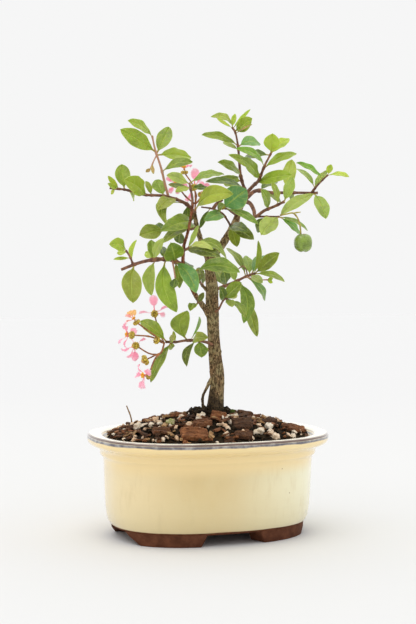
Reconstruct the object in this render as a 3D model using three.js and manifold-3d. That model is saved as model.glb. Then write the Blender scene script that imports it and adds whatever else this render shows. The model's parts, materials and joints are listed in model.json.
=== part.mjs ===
// Barbados cherry bonsai in an oval glazed pot, in millimetres, +Z up.
// The pot's long axis lies along X. The origin is on the surface that the pot stands on.
// The tree is laid out as it is seen from its front and stands turned in the pot.
import * as THREE from 'three';
import { mergeVertices } from 'three/addons/utils/BufferGeometryUtils.js';
import Module from 'manifold-3d';

const wasm = await Module();
wasm.setup();

// Pot: the rim's oval, the heights from the surface, and the wall
const rimHalfLength = 81;
const rimHalfWidth = 61.5;
const ovalPower = 2.4;
const potHeight = 68.4;
const floorUnder = 7.5;
const floorTop = 13;
const glazeLine = 9.3;
const bodyInset = 10.8;
const potTurns = 32;
const footHeight = 9;
const footInset = 16.3;
const footDepth = 13;
const drainRadius = 6;
const drainPlace = 34;

// Soil: the gap to the pot, its edge and the rise of the mound
const gap = 0.35;
const wallInset = 17;
const innerInset = 30;
const soilEdgeZ = 64.5;
const moundRise = 14;
const soilChips = 30;

// Tree: its front, as an angle round the pot, and the eye point that its outline is laid out from
const frontTurn = THREE.MathUtils.degToRad(22.3);
const eye = new THREE.Vector3(-1, -933, 187.4);
const crownDepth = 1.5;
const bladeThickness = 0.7;
const stalkShare = 0.13;
const stalkHalfWidth = 0.4;

// Flowers and fruit
const petalLength = 10.4;
const petalHalfWidth = 2.5;
const calyxRadius = 1.7;
const cherryRadius = 6;

const up = new THREE.Vector3(0, 0, 1);

function seededRandom(seed) {
  let state = seed;
  return () => {
    state = (state * 1664525 + 1013904223) % 4294967296;
    return state / 4294967296;
  };
}

// Solids: a closed geometry becomes a manifold and comes back as a geometry
function bare(geometry) {
  for (const name of Object.keys(geometry.attributes)) {
    if (name !== 'position') geometry.deleteAttribute(name);
  }
  return geometry;
}

function solidOf(geometry) {
  const merged = mergeVertices(bare(geometry), 1e-4);
  const vertProperties = new Float32Array(merged.attributes.position.array);
  const triVerts = [];
  const index = merged.index.array;
  for (let i = 0; i < index.length; i += 3) {
    const [a, b, c] = [index[i], index[i + 1], index[i + 2]];
    if (a !== b && b !== c && c !== a) triVerts.push(a, b, c);
  }
  const mesh = new wasm.Mesh({ numProp: 3, vertProperties, triVerts: new Uint32Array(triVerts) });
  return new wasm.Manifold(mesh);
}

function geometryOf(solid) {
  const mesh = solid.getMesh();
  const geometry = new THREE.BufferGeometry();
  geometry.setAttribute('position', new THREE.BufferAttribute(mesh.vertProperties, 3));
  geometry.setIndex(new THREE.BufferAttribute(mesh.triVerts, 1));
  geometry.computeVertexNormals();
  return geometry;
}

function joined(solids) {
  return solids.reduce((whole, solid) => whole.add(solid));
}

// The largest body of a solid, without the scraps that a cut leaves loose
function mainBody(solid) {
  const bodies = solid.decompose();
  return bodies.reduce((best, body) => (body.volume() > best.volume() ? body : best));
}

function reshape(geometry, move) {
  const places = geometry.attributes.position;
  const point = new THREE.Vector3();
  for (let i = 0; i < places.count; i += 1) {
    point.fromBufferAttribute(places, i);
    move(point);
    places.setXYZ(i, point.x, point.y, point.z);
  }
  return geometry;
}

const bonsai = new THREE.Group();
const tree = new THREE.Group();
tree.rotation.z = -frontTurn;
bonsai.add(tree);

function addPiece(parent, name, solid, color, roughness) {
  const material = new THREE.MeshStandardMaterial({ color, roughness, metalness: 0 });
  const mesh = new THREE.Mesh(geometryOf(solid), material);
  mesh.name = name;
  parent.add(mesh);
}

// Oval: a round form of a given radius is laid on a superellipse that keeps its inset from the rim
function ovalPoint(inset, angle) {
  const c = Math.cos(angle);
  const s = Math.sin(angle);
  const halfLength = Math.max(rimHalfLength - inset, 0);
  const halfWidth = Math.max(rimHalfWidth - inset, 0);
  const x = halfLength * Math.sign(c) * Math.abs(c) ** (2 / ovalPower);
  const y = halfWidth * Math.sign(s) * Math.abs(s) ** (2 / ovalPower);
  return [x, y];
}

// A LatheGeometry of (inset, z) points, moved from its circle to the oval
function ovalForm(profile, turns) {
  const points = profile.map(([inset, z]) => new THREE.Vector2(rimHalfLength - inset, z));
  const lathe = new THREE.LatheGeometry(points, turns);
  return reshape(lathe, (point) => {
    const radius = Math.hypot(point.x, point.z);
    const height = point.y;
    const inset = rimHalfLength - radius;
    const angle = Math.atan2(-point.z, point.x);
    const shrink = Math.min(1, radius / (rimHalfLength - innerInset));
    const [x, y] = ovalPoint(Math.min(inset, innerInset), angle);
    point.set(x * shrink, y * shrink, height);
  });
}

// Pot: (inset, z) from under its middle, up the outside, over the lip and down the inside
const potProfile = [
  [rimHalfLength, floorUnder],
  [17.5, floorUnder],
  [15.6, 8],
  [14.5, glazeLine],
  [12.8, 13],
  [11.8, 20],
  [bodyInset, 44],
  [10.5, 51],
  [8.6, 54.2],
  [8.2, 57],
  [6.2, 59.2],
  [2.6, 60.8],
  [0.6, 62.6],
  [0, 65],
  [1.4, potHeight],
  [7.6, 67.9],
  [9.4, 67],
  [11, 63],
  [15, 56.5],
  [wallInset, 48],
  [18.4, 20],
  [27, floorTop],
  [rimHalfLength, floorTop],
];

// One foot: a block laid along the oval between two angles, its ends slanting in towards the floor
function footSolid(middleSign, endSign) {
  const block = new THREE.BoxGeometry(1, 1, 1, 8, 1, 1);
  const topRange = [11, 78];
  const bottomRange = [30, 74];
  reshape(block, (point) => {
    const height = point.z + 0.5;
    const share = point.x + 0.5;
    const from = THREE.MathUtils.lerp(bottomRange[0], topRange[0], height);
    const to = THREE.MathUtils.lerp(bottomRange[1], topRange[1], height);
    const angle = THREE.MathUtils.degToRad(THREE.MathUtils.lerp(from, to, share));
    const inset = footInset - 0.9 * height + footDepth * (point.y < 0 ? 0 : 1);
    const [x, y] = ovalPoint(inset, angle);
    point.set(x, y, height * footHeight);
  });
  return solidOf(block).scale([endSign, middleSign, 1]);
}

function standingCylinder(radius, z0, z1, x, y, sides) {
  const geometry = new THREE.CylinderGeometry(radius, radius, z1 - z0, sides);
  geometry.rotateX(Math.PI / 2);
  geometry.translate(x, y, (z0 + z1) / 2);
  return solidOf(geometry);
}

let pot = solidOf(ovalForm(potProfile, potTurns));
for (const endSign of [-1, 1]) {
  for (const middleSign of [-1, 1]) pot = pot.add(footSolid(middleSign, endSign));
}
for (const x of [-drainPlace, drainPlace]) {
  pot = pot.subtract(standingCylinder(drainRadius, 0, potHeight, x, 0, 20));
}
addPiece(bonsai, 'pot', pot, 0xefdfb4, 0.25);

// Drain screens: three bars each way, with four square meshes, over each drainage hole
const screenSide = 18;
const screenThickness = 1;
const barWidth = 1.5;
const screenBars = 3;

function screenSolid(x) {
  const bars = [];
  const pitch = (screenSide - barWidth) / (screenBars - 1);
  for (let i = 0; i < screenBars; i += 1) {
    const shift = i * pitch - (screenSide - barWidth) / 2;
    const along = new THREE.BoxGeometry(screenSide, barWidth, screenThickness);
    const across = new THREE.BoxGeometry(barWidth, screenSide, screenThickness);
    bars.push(solidOf(along.translate(0, shift, 0)), solidOf(across.translate(shift, 0, 0)));
  }
  return joined(bars).translate([x, 0, floorTop + gap + screenThickness / 2]);
}

addPiece(bonsai, 'drain_screen_left', screenSolid(-drainPlace), 0x2b2b2b, 0.7);
addPiece(bonsai, 'drain_screen_right', screenSolid(drainPlace), 0x2b2b2b, 0.7);

// Soil surface: the height of the bare mound over a place in the pot
function moundHeight(x, y) {
  const farX = Math.abs(x / (rimHalfLength - 12)) ** ovalPower;
  const farY = Math.abs(y / (rimHalfWidth - 12)) ** ovalPower;
  return soilEdgeZ + moundRise * (1 - Math.min((farX + farY) ** (1 / ovalPower), 1) ** 2.2);
}

// A flake of bark: a jagged plate, thinner to its edge, with one or two broken corners
function flakeSolid(random, length, width, thickness) {
  const corners = 8;
  const plate = new THREE.CylinderGeometry(0.5, 0.5, 1, corners, 1);
  plate.rotateX(Math.PI / 2);
  const reach = [];
  for (let i = 0; i < corners; i += 1) reach.push(0.78 + 0.4 * random());
  return solidOf(reshape(plate, (point) => {
    const angle = Math.atan2(point.y, point.x);
    const corner = Math.round((angle / (2 * Math.PI)) * corners + corners) % corners;
    const square = 1 / Math.max(Math.abs(Math.cos(angle)), Math.abs(Math.sin(angle))) ** 0.7;
    const factor = reach[corner] * square * (point.z > 0 ? 0.9 : 1);
    point.set(point.x * length * factor, point.y * width * factor, point.z * thickness);
  }));
}

function pebbleSolid(random, length, width, height) {
  const stone = mergeVertices(bare(new THREE.DodecahedronGeometry(0.5, 0)));
  reshape(stone, (point) => {
    const factor = 0.86 + 0.28 * random();
    point.set(point.x * length * factor, point.y * width * factor, point.z * height * factor);
  });
  return solidOf(stone);
}

// Pieces that lie on the mound: [x, y, turn and two tilts in degrees, length, width, thickness, rise]
const barkChips = [
  [-25, -37, -12, 28, 4, 22, 13, 3.2, 2.2],
  [-14, -25, 8, 12, -3, 15, 8, 3, 2.2],
  [2, -13, -20, 18, 6, 12, 9, 3, 2.6],
  [12, -29, -15, 26, -4, 16, 12, 3.4, 2.4],
  [7, -42, -28, 18, 2, 13, 8, 3, 2],
  [49, -24, -20, 12, 10, 14, 8, 3, 2.2],
  [59, -14, -10, 10, 14, 12, 7, 3, 2],
  [36, -18, 35, 14, -6, 13, 7, 3, 2.2],
  [26, -2, -15, 8, 8, 12, 7, 3, 2.4],
  [-21, 0, 24, -8, 8, 14, 6, 2.6, 2.4],
  [-42, -24, -6, 16, 4, 13, 8, 3, 2],
  [-10, 26, 10, -14, 6, 14, 9, 3, 2.2],
  [30, 24, -30, -12, -4, 13, 9, 3, 2.2],
];
const pebbles = [
  [-50, -1, 7.7, 6.5, 6, 1.8],
  [-36, 5, 4.8, 4.4, 4.4, 1.6],
  [-43, -7, 5.8, 5, 4.4, 1.4],
  [-33, -15, 7.2, 6.4, 6, 2.2],
  [-9, -11, 5.4, 4.6, 6, 2],
  [21, -37, 7, 6.2, 5.6, 1.8],
  [31, -29, 8, 6, 5, 1.8],
  [30, -41, 8.6, 6.4, 5, 1.4],
  [-28, 30, 7, 6, 5.4, 1.6],
  [46, 14, 7.4, 6, 5.2, 1.6],
];

function laid(solid, [x, y, turn, tiltX, tiltY], rise) {
  return solid.rotate([tiltX, tiltY, turn]).translate([x, y, moundHeight(x, y) + rise]);
}

// Each piece keeps its gap in the soil: a copy grown by the gap on every side is taken out of it
function grown(length) {
  return (length + 2 * gap) / length;
}

const soilPockets = [];
for (const x of [-drainPlace, drainPlace]) {
  const side = screenSide + 2 * gap;
  const room = new THREE.BoxGeometry(side, side, screenThickness + 2 * gap);
  soilPockets.push(solidOf(room.translate(x, 0, floorTop + gap + screenThickness / 2)));
}
barkChips.forEach(([x, y, turn, tiltX, tiltY, length, width, thickness, rise], i) => {
  const random = seededRandom(100 + i);
  const flake = flakeSolid(random, length, width, thickness);
  const pocket = flake.scale([grown(length), grown(width), grown(thickness)]);
  const place = [x, y, turn, tiltX, tiltY];
  const color = i % 3 === 0 ? 0x8a4a30 : 0x6f3c2a;
  addPiece(bonsai, `bark_chip_${i + 1}`, laid(flake, place, rise), color, 0.85);
  soilPockets.push(laid(pocket, place, rise));
});
pebbles.forEach(([x, y, length, width, height, rise], i) => {
  const random = seededRandom(300 + i);
  const stone = pebbleSolid(random, length, width, height);
  const pocket = stone.scale([grown(length), grown(width), grown(height)]);
  const place = [x, y, 40 * i, 8, 5];
  const color = i === 3 ? 0x9aa55a : 0xd8d0c2;
  addPiece(bonsai, `pebble_${i + 1}`, laid(stone, place, rise), color, 0.85);
  soilPockets.push(laid(pocket, place, rise));
});

// Soil: a filled oval with a mounded top, its chips fused in and laid round the larger pieces
const soilProfile = [
  [rimHalfLength, floorTop + gap],
  [27.4, floorTop + gap],
  [18.5 + gap, 20.4],
  [wallInset + gap, 48],
  [15 + gap + 0.1, 56.5],
  [12.4, soilEdgeZ - 1.5],
];
const moundRings = [0.95, 0.84, 0.68, 0.48, 0.25];
for (const share of moundRings) {
  const x = share * (rimHalfLength - 12);
  soilProfile.push([rimHalfLength - x, moundHeight(x, 0)]);
}
soilProfile.push([rimHalfLength, moundHeight(0, 0)]);

let soil = solidOf(ovalForm(soilProfile, 24));
const soilRandom = seededRandom(7);
for (let i = 0; i < soilChips; i += 1) {
  const angle = i * 2.39996;
  const reach = 0.93 * Math.sqrt((i + 0.5) / soilChips);
  const [edgeX, edgeY] = ovalPoint(15.5, angle);
  const length = 10 + 6 * soilRandom();
  const width = 6 + 3.5 * soilRandom();
  const chip = new THREE.BoxGeometry(length, width, 2.4);
  const place = [edgeX * reach, edgeY * reach, 360 * soilRandom()];
  place.push(24 * soilRandom() - 12, 30 * soilRandom() - 15);
  soil = soil.add(laid(solidOf(chip), place, 0.4 + 1.2 * soilRandom()));
}

// Layout of the tree: x and z are where a point shows on the upright plane through the pot's middle,
// and depth slides it along its sight line from the eye, away from the front, so that its outline keeps
function placed([x, z, depth]) {
  const onPlane = new THREE.Vector3(x, 0, z);
  return onPlane.sub(eye).multiplyScalar(1 + (crownDepth * depth) / -eye.y).add(eye);
}

function curveOf(path) {
  return new THREE.CatmullRomCurve3(path.map(placed));
}

// A stem: a cylinder bent along a curve, its radius read from an even list of radii
function stemSolid(path, radii, sides, steps, swell = 0) {
  const curve = curveOf(path);
  const frames = curve.computeFrenetFrames(steps, false);
  const stem = new THREE.CylinderGeometry(1, 1, 1, sides, steps);
  reshape(stem, (point) => {
    const step = Math.round((point.y + 0.5) * steps);
    const share = (step / steps) * (radii.length - 1);
    const low = Math.min(Math.floor(share), radii.length - 2);
    const radius = THREE.MathUtils.lerp(radii[low], radii[low + 1], share - low) + swell;
    const centre = curve.getPointAt(step / steps);
    if (swell > 0 && step === steps) centre.addScaledVector(frames.tangents[step], swell);
    if (swell > 0 && step === 0) centre.addScaledVector(frames.tangents[0], -swell);
    const across = frames.normals[step].clone().multiplyScalar(-point.z * radius);
    across.addScaledVector(frames.binormals[step], -point.x * radius);
    point.copy(centre).add(across);
  });
  return solidOf(stem);
}

// Woody part: the trunk with its main branches and the aerial root at its foot
const wood = [
  { path: [[3.5, 65, 2], [4, 76, 2], [4.5, 84, 2], [5, 92.5, 2], [5.5, 102.5, 2], [4, 117.5, 1],
    [2.5, 135, 0], [2, 148, 0], [1.5, 157, 0], [1.5, 164, 0], [0, 176, 0], [-1, 187, 0]],
  radii: [8.2, 7.2, 6, 5.1, 4.9, 4.2, 3.9, 4, 4.3, 4.2, 3.3, 2.6], sides: 12, steps: 16 },
  { path: [[-0.5, 180, 0], [2, 185.5, 1], [6.5, 191, 2], [13, 201, 3], [17, 209, 4], [20, 218, 5],
    [24, 226, 6]],
    radii: [3, 2.9, 2.5, 1.8], sides: 8, steps: 10 },
  { path: [[-0.5, 182, 0], [-5.5, 194, -1], [-8.5, 204, -3], [-11, 216, -5]],
    radii: [2.3, 2, 1.5], sides: 7, steps: 6 },
  { path: [[2, 141.5, 0], [-2, 149, -2], [-10, 160.5, -10], [-18, 180.5, -22]],
    radii: [2, 1.8, 1.5], sides: 7, steps: 8 },
  { path: [[-18, 180, -22], [-17.5, 191.5, -24], [-14.5, 202.5, -25], [-11.5, 220.5, -26]],
    radii: [1.4, 1.2, 1.1], sides: 6, steps: 6 },
  { path: [[2, 104, 1], [-1.5, 97, -2], [-4, 91.5, -3], [-4, 86.5, -3], [-3, 77, -1]],
    radii: [1.5, 1.2, 1.2, 1.7], sides: 6, steps: 8 },
  { path: [[1, 160, 0], [-2.5, 163, -1], [-7.5, 168.5, 2]],
    radii: [1.1, 0.8], sides: 6, steps: 3 },
];

function woodSolid(swell) {
  return joined(wood.map(({ path, radii, sides, steps }) => stemSolid(path, radii, sides, steps, swell)));
}

const trunk = woodSolid(0);
const woodRoom = woodSolid(gap);
addPiece(tree, 'trunk', trunk, 0x7a6245, 0.9);

// Leaf shape: half the width at a share of the blade, widest just past its middle
function bladeWidth(share) {
  return Math.sin(Math.PI * share ** 1.05) ** 0.66;
}

// Where the cross lines of a blade lie along it: broad blades have a midrib and more lines
const broadShares = [0, stalkShare, 0.28, 0.53, 0.79];
const commonShares = [0, stalkShare, 0.32, 0.58, 0.82];
const smallShares = [0, stalkShare, 0.4, 0.75];

// A leaf: a flat stalk that widens into a folded, arched blade. A roll of 0 turns its upper face to the
// eye, 90 turns it up, and past 90 the underside shows. A bend bows it sideways in its own plane.
function leafSolid(base, tip, width, roll, arch, bend = 0) {
  const axis = tip.clone().sub(base);
  const length = axis.length();
  axis.normalize();
  const toEye = new THREE.Vector3(0, -1, 0).addScaledVector(axis, axis.y).normalize();
  const upward = axis.clone().cross(toEye);
  if (upward.z < 0) upward.negate();
  const angle = THREE.MathUtils.degToRad(roll);
  const normal = toEye.multiplyScalar(Math.cos(angle)).addScaledVector(upward, Math.sin(angle));
  const across = axis.clone().cross(normal);
  const broad = width > 9.5;
  const sides = broad ? [-1, 0, 1] : [-1, 1];
  const shares = broad ? broadShares : (width > 7 && commonShares) || smallShares;
  const places = [];
  const index = [];
  for (const sink of [0, -bladeThickness]) {
    shares.forEach((share, i) => {
      const blade = Math.max(0, (share - stalkShare) / (1 - stalkShare));
      const half = Math.max(stalkHalfWidth, (width / 2) * bladeWidth(blade));
      const bow = 4 * arch * length * share * (1 - share);
      const sideways = 4 * bend * length * share * (1 - share);
      const wave = blade > 0 ? 0.04 * width * (i % 2 === 0 ? 1 : -1) : 0;
      const fold = broad ? 0.22 * (half - stalkHalfWidth) : 0;
      for (const side of sides) {
        const point = base.clone().addScaledVector(axis, share * length);
        point.addScaledVector(across, sideways + side * half);
        point.addScaledVector(normal, bow + Math.abs(side) * fold + side * wave + sink);
        places.push(point.toArray());
      }
    });
    places.push(tip.clone().addScaledVector(normal, sink).toArray());
  }
  const columns = sides.length;
  const under = shares.length * columns + 1;
  const point = under - 1;
  const quad = (a, b, c, d) => index.push(a, b, c, a, c, d);
  const quadUnder = (a, b, c, d) => index.push(a, c, b, a, d, c);
  for (let row = 0; row < shares.length - 1; row += 1) {
    const left = row * columns;
    const right = left + columns - 1;
    for (let a = left; a < right; a += 1) {
      quad(a, a + 1, a + 1 + columns, a + columns);
      quadUnder(a + under, a + 1 + under, a + 1 + columns + under, a + columns + under);
    }
    quad(left + under, left, left + columns, left + columns + under);
    quad(right, right + under, right + columns + under, right + columns);
  }
  const last = (shares.length - 1) * columns;
  for (let a = last; a < last + columns - 1; a += 1) {
    index.push(a, a + 1, point, a + under, point + under, a + 1 + under);
  }
  quad(last + under, last, point, point + under);
  quad(last + columns - 1, last + columns - 1 + under, point + under, point);
  for (let a = 0; a < columns - 1; a += 1) quad(a, a + under, a + 1 + under, a + 1);
  const geometry = new THREE.BufferGeometry();
  geometry.setAttribute('position', new THREE.BufferAttribute(new Float32Array(places.flat()), 3));
  geometry.setIndex(index);
  return solidOf(geometry);
}

// Leafy shoots. Each twig has a path, end radii, and leaves: where along the twig, then where the tip
// shows and its depth, and the blade's width, roll, arch and, where it has one, sideways bend
const shoots = {
  upper_left: [
    { radii: [1.2, 0.6],
      path: [[-10, 214, -4], [-16, 220, -8], [-30, 225, -14], [-45, 226, -20], [-56, 229, -23],
        [-67, 230, -26]],
      leaves: [
        [0.62, -57, 236, -34, 12, 25, 0.08],
        [0.56, -43, 235, -18, 5.5, 50, 0.05],
        [0.42, -36, 236, -8, 9.5, 15, 0.05],
        [0.85, -59, 246, -20, 10, 10, 0.05],
        [0.28, -35, 216, -22, 10, 40, 0.15],
        [0.15, -29, 206, -24, 8, 30, 0.15, 0.32],
        [0.14, -15, 207, -2, 8, 15, 0.05],
        [0.9, -68, 238, -29, 3.5, 20, 0],
        [0.92, -68, 233, -33, 3.5, 30, 0],
        [0.95, -66, 226, -22, 2.5, 30, 0],
        [0.81, -51, 222, -12, 4.5, 60, 0.1],
      ] },
    { radii: [0.9, 0.55],
      path: [[-28, 225, -13], [-30, 232, -13.5], [-33, 244, -14], [-37, 256, -13], [-39, 265, -12]],
      leaves: [
        [0.98, -55, 275, -20, 8.5, 50, 0.12],
        [0.73, -60, 269, -22, 11, 15, 0.06],
        [0.7, -28, 271, -6, 10, 8, 0.04],
        [0.68, -13, 251, 0, 10.5, 35, 0.05],
        [0.4, -12, 248, -15, 8.5, 45, 0.15],
      ] },
    { radii: [0.5, 0.4],
      path: [[-36, 252, -13], [-38, 248, -17], [-40, 243, -19]],
      leaves: [
        [0.95, -43, 241, -20, 2.5, 20, 0],
        [0.7, -38, 240, -23, 2.5, 20, 0],
      ] },
  ],
  spur: [
    { radii: [0.9, 0.55],
      path: [[-12, 219, -25.6], [-12, 224, -25], [-13, 229, -24], [-14, 234, -23]],
      leaves: [
        [0.95, -29, 239, -30, 7.5, 30, 0.06],
        [0.98, 9, 240, -20, 8.5, 50, 0.14],
        [0.8, -23, 228, -32, 5.5, 40, 0.05],
        [0.75, 0, 230, -18, 6.5, 50, 0.08],
        [0.7, -28, 233, -20, 4.5, 40, 0.05],
      ] },
  ],
  top: [
    { radii: [1.2, 0.55],
      path: [[24, 227, 6], [22, 232, 6], [20, 239, 5], [19, 248, 3], [18, 259, 1],
        [16, 268, 0], [14, 271, 0]],
      leaves: [
        [0.97, 0, 278, -6, 7.5, 55, 0.26],
        [0.99, 4, 277, 5, 2.5, 30, 0],
        [1, 16, 280, 2, 3.5, 10, 0],
        [0.93, 27, 277, -8, 9.5, 15, 0.05],
        [0.98, 26, 283, 3, 2.5, 20, 0],
        [0.9, 27, 273, -14, 1.5, 30, 0],
        [0.72, -6, 266, -6, 8, 45, 0.12],
        [0.66, 8, 261, 6, 4, 40, 0.05],
        [0.7, 33, 260, 12, 8.5, 30, 0.1, -0.1],
        [0.27, 5, 248, -12, 7.5, 45, 0.1],
        [0.2, 9, 234, 14, 8.5, 30, 0.05],
        [0.08, -3, 235, -20, 7.5, 50, 0.08],
        [0.26, 3, 236, -6, 4, 30, 0.05],
      ] },
  ],
  upper_right: [
    { radii: [1.4, 0.6],
      path: [[21, 224, 5.6], [28, 232, 2], [32, 236, -3], [34, 241, -6], [36, 246, -8],
        [40, 254, -10]],
      leaves: [
        [0.76, 17, 257, -20, 7.5, 50, 0.15],
        [0.97, 23, 252, 6, 8, 35, 0.08],
        [1, 41, 267, -13, 10.5, 5, 0.04],
        [0.98, 52, 264, -2, 7.5, 35, 0.08],
        [0.73, 57, 254, -2, 8.5, 45, 0.12],
        [0.6, 12, 253, -12, 8, 45, 0.1],
        [0.52, 20, 251, -24, 8.5, 30, 0.08],
        [0.36, 54, 240, -12, 9.5, 35, 0.1],
      ] },
  ],
  right: [
    { radii: [1.4, 0.8],
      path: [[24, 224, 7], [30, 229, 10], [40, 228, 14], [54, 228, 18], [68, 228, 20],
        [71, 228, 21]],
      leaves: [
        [0.62, 54, 250, 26, 9.5, 15, 0.04],
        [0.95, 77, 211, 12, 10, 20, 0.08],
        [0.7, 53, 223, 27, 3.5, 30, 0],
        [0.3, 47, 222, 24, 5.5, 35, 0.05],
        [0.22, 44, 235, 26, 7.5, 45, 0.08],
        [1, 47, 214, 6, 8.5, 30, 0.06],
      ] },
    { radii: [0.8, 0.5],
      path: [[67, 228, 20], [72, 234, 17], [78, 240, 14]],
      leaves: [
        [0.72, 57, 248, 10, 6, 50, 0.12],
        [0.25, 57, 244, 30, 6, 50, 0.1],
        [0.15, 77, 243, 27, 6, 35, 0.06],
        [1, 80, 247, 15, 4.5, 15, 0],
        [0.97, 92, 239, 8, 6, 60, 0.12],
      ] },
  ],
  hook: [
    { radii: [1.5, 0.8],
      path: [[22, 222, 5.6], [26, 221, 2], [29, 216, -4], [30, 212, -8], [36, 216, -13],
        [43, 219, -17], [49, 222, -20]],
      leaves: [
        [1, 55, 238, -22, 8, 30, 0.05],
        [0.74, 34, 230, -27, 8, 40, 0.08],
        [0.9, 41, 235, -12, 5.5, 40, 0.08],
      ] },
    { radii: [0.8, 0.55],
      path: [[30, 212, -8], [37, 212, -12], [46, 212, -16]],
      leaves: [
        [0.98, 34, 200, -24, 11.5, 25, 0.1],
        [0.5, 31, 202, -4, 7.5, 40, 0.1],
        [1, 60, 201, -4, 6.5, 40, 0.08],
        [0.97, 65, 203, -10, 4.5, 55, 0.12],
      ] },
  ],
  centre: [
    { radii: [0.9, 0.55],
      path: [[17, 213, 4.5], [14, 215, -6], [11, 217, -13], [8, 217, -17]],
      leaves: [
        [1, 24, 230, -20, 16, 8, 0.06],
        [0.85, 32, 207, -22, 6, 40, 0.1],
      ] },
  ],
  centre_left: [
    { radii: [0.8, 0.5],
      path: [[14, 205, 3], [11, 210, -8], [8, 214, -12], [1, 217, -15], [-6, 218, -17]],
      leaves: [
        [0.1, 29, 197, -12, 8, 20, 0.05],
        [0.06, 25, 202, -20, 8.5, 30, 0.08],
        [0.08, 18, 192, -4, 7.5, 15, 0.04],
        [0.5, -4, 209, -22, 8, 35, 0.16],
        [0.85, -7, 204, -10, 4, 30, 0.05],
        [0.7, 9, 220, -24, 5.5, 40, 0.08],
      ] },
    { radii: [1.3, 0.9],
      path: [[2, 217, -13], [4, 220, -12], [8, 223, -11]],
      leaves: [
      ] },
  ],
  left_upper: [
    { radii: [1, 0.55],
      path: [[-8, 205, -3], [-15, 203, -11], [-23, 203, -14], [-31, 203, -17]],
      leaves: [
        [0.98, -47, 199, -22, 11.5, 28, 0.08],
        [0.22, -33, 202, -32, 11.5, 35, 0.2],
        [0.3, -32, 194, -34, 7.5, 40, 0.1],
        [0.9, -39, 203, -8, 8, 20, 0.05],
        [0.6, -21, 194, -8, 9.5, 30, 0.05],
        [0.4, -29, 209, -6, 8, 35, 0.1],
      ] },
  ],
  left_top: [
    { radii: [0.9, 0.6],
      path: [[-11, 215, -6], [-10, 215, -14], [-10, 216, -22]],
      leaves: [
        [0.95, 15, 227, -36, 11.5, 22, 0.1, -0.13],
      ] },
  ],
  left_mid: [
    { radii: [1.4, 0.95],
      path: [[-19, 180, -23], [-27, 183, -25], [-35, 183, -27], [-42, 182, -28], [-49, 180, -29],
        [-59, 176, -31]],
      leaves: [
        [0.78, -51, 154, -37, 13, 15, 0.08, 0.09],
        [0.43, -39, 159, -24, 8.5, 15, 0.05, 0.13],
        [0.27, -22, 148, -30, 12, 10, 0.08, 0.12],
        [0.12, -9, 161, -36, 10.5, 20, 0.08, -0.06],
        [0.12, -20, 164, -24, 6.5, 40, 0.05],
        [0.4, -43, 188, -20, 7.5, 30, 0.05],
        [0.47, -31, 197, -38, 6.5, 30, 0.08],
        [0.5, -39, 196, -24, 7.5, 30, 0.1],
        [0.3, -33, 192, -14, 7.5, 35, 0.05],
        [0.1, -26, 194, -34, 13.5, 15, 0.08],
      ] },
    { radii: [0.7, 0.5],
      path: [[-51, 179, -29], [-53, 184, -31], [-56, 189, -32]],
      leaves: [
        [1, -67, 193, -38, 9.5, 35, 0.22],
        [0.15, -49, 196, -27, 3.5, 25, 0.05, -0.15],
        [0.5, -64, 183, -40, 2.5, 30, 0],
        [0.9, -62, 187, -26, 3.5, 20, 0],
      ] },
    { radii: [0.6, 0.5],
      path: [[-25, 182, -25], [-24, 177, -28], [-23, 171, -30]],
      leaves: [
        [1, -24, 164, -32, 6, 20, 0.05],
      ] },
  ],
  centre_low: [
    { radii: [0.75, 0.5],
      path: [[-18, 188, -25], [-16, 190, -31], [-14, 191, -35]],
      leaves: [
        [0.3, 7, 185, -42, 9.5, 45, 0.1],
        [1, 11, 184, -34, 9.5, 55, 0.33],
        [0.85, 2, 190, -47, 5.5, 50, 0.15],
        [0.8, -8, 206, -40, 3.5, 30, 0],
      ] },
  ],
  centre_under: [
    { radii: [0.75, 0.5],
      path: [[-17, 177, -21], [-14, 176, -25], [-11, 175, -27]],
      leaves: [
        [1, 20, 175, -28, 12, 45, 0.2],
        [0.6, -15, 181, -14, 8, 35, 0.05],
        [0.95, -7, 168, -18, 6, 30, 0.05],
      ] },
  ],
  low_right: [
    { radii: [1.2, 0.75],
      path: [[2, 161, 2], [6, 164, 5], [11, 166, 9], [18, 169, 13], [24, 172, 15],
        [30, 174, 17]],
      leaves: [
        [0.82, 11, 191, 22, 7.5, 50, 0.14],
        [0.9, 24, 186, 28, 7.5, 20, 0.05],
        [0.93, 39, 186, 32, 10, 40, 0.08],
        [0.97, 32, 196, 14, 4, 30, 0, 0.12],
        [1, 46, 188, 10, 9.5, 20, 0.05],
        [0.98, 50, 169, 22, 6.5, 50, 0.14],
        [0.92, 35, 168, 4, 6, 30, 0.05],
        [0.82, 37, 156, 26, 6.5, 40, 0.16],
        [0.66, 23, 141, 4, 10, 15, 0.08, -0.13],
        [0.62, 32, 132, 26, 8, 20, 0.1],
        [0.32, 4, 177, 16, 9.5, 20, 0.05],
        [0.38, 9, 177, -2, 8, 25, 0.05],
        [0.6, 13, 179, 6, 6.5, 35, 0.08],
      ] },
    { radii: [0.5, 0.4],
      path: [[24, 172, 15], [31, 170, 11], [39, 170, 8]],
      leaves: [
        [0.95, 42, 171, 7, 2.5, 20, 0],
        [0.95, 42, 168, 9, 2.5, 20, 0],
      ] },
    { radii: [0.5, 0.4],
      path: [[25, 173, 15.5], [24, 177, 13], [22, 179, 12], [19, 177, 11]],
      leaves: [
      ] },
  ],
  low_twig: [
    { radii: [0.8, 0.5],
      path: [[3, 148, -1], [6, 150, -4], [8, 154, -7], [10, 157, -9], [14, 156, -12]],
      leaves: [
        [1, 24, 145, -18, 6, 45, 0.18],
        [0.85, 15, 152, -20, 6, 30, 0.05],
        [0.68, 21, 168, -14, 9.5, 30, 0.06],
        [0.66, 7, 165, -22, 6.5, 35, 0.08],
        [0.8, 18, 161, -4, 6, 30, 0.05],
      ] },
  ],
  low_left: [
    { radii: [1.1, 0.7],
      path: [[3, 126, -1], [-2, 128, -5], [-8, 129, -8.5], [-16, 129, -11], [-22, 128, -14],
        [-29, 128, -18]],
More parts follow.
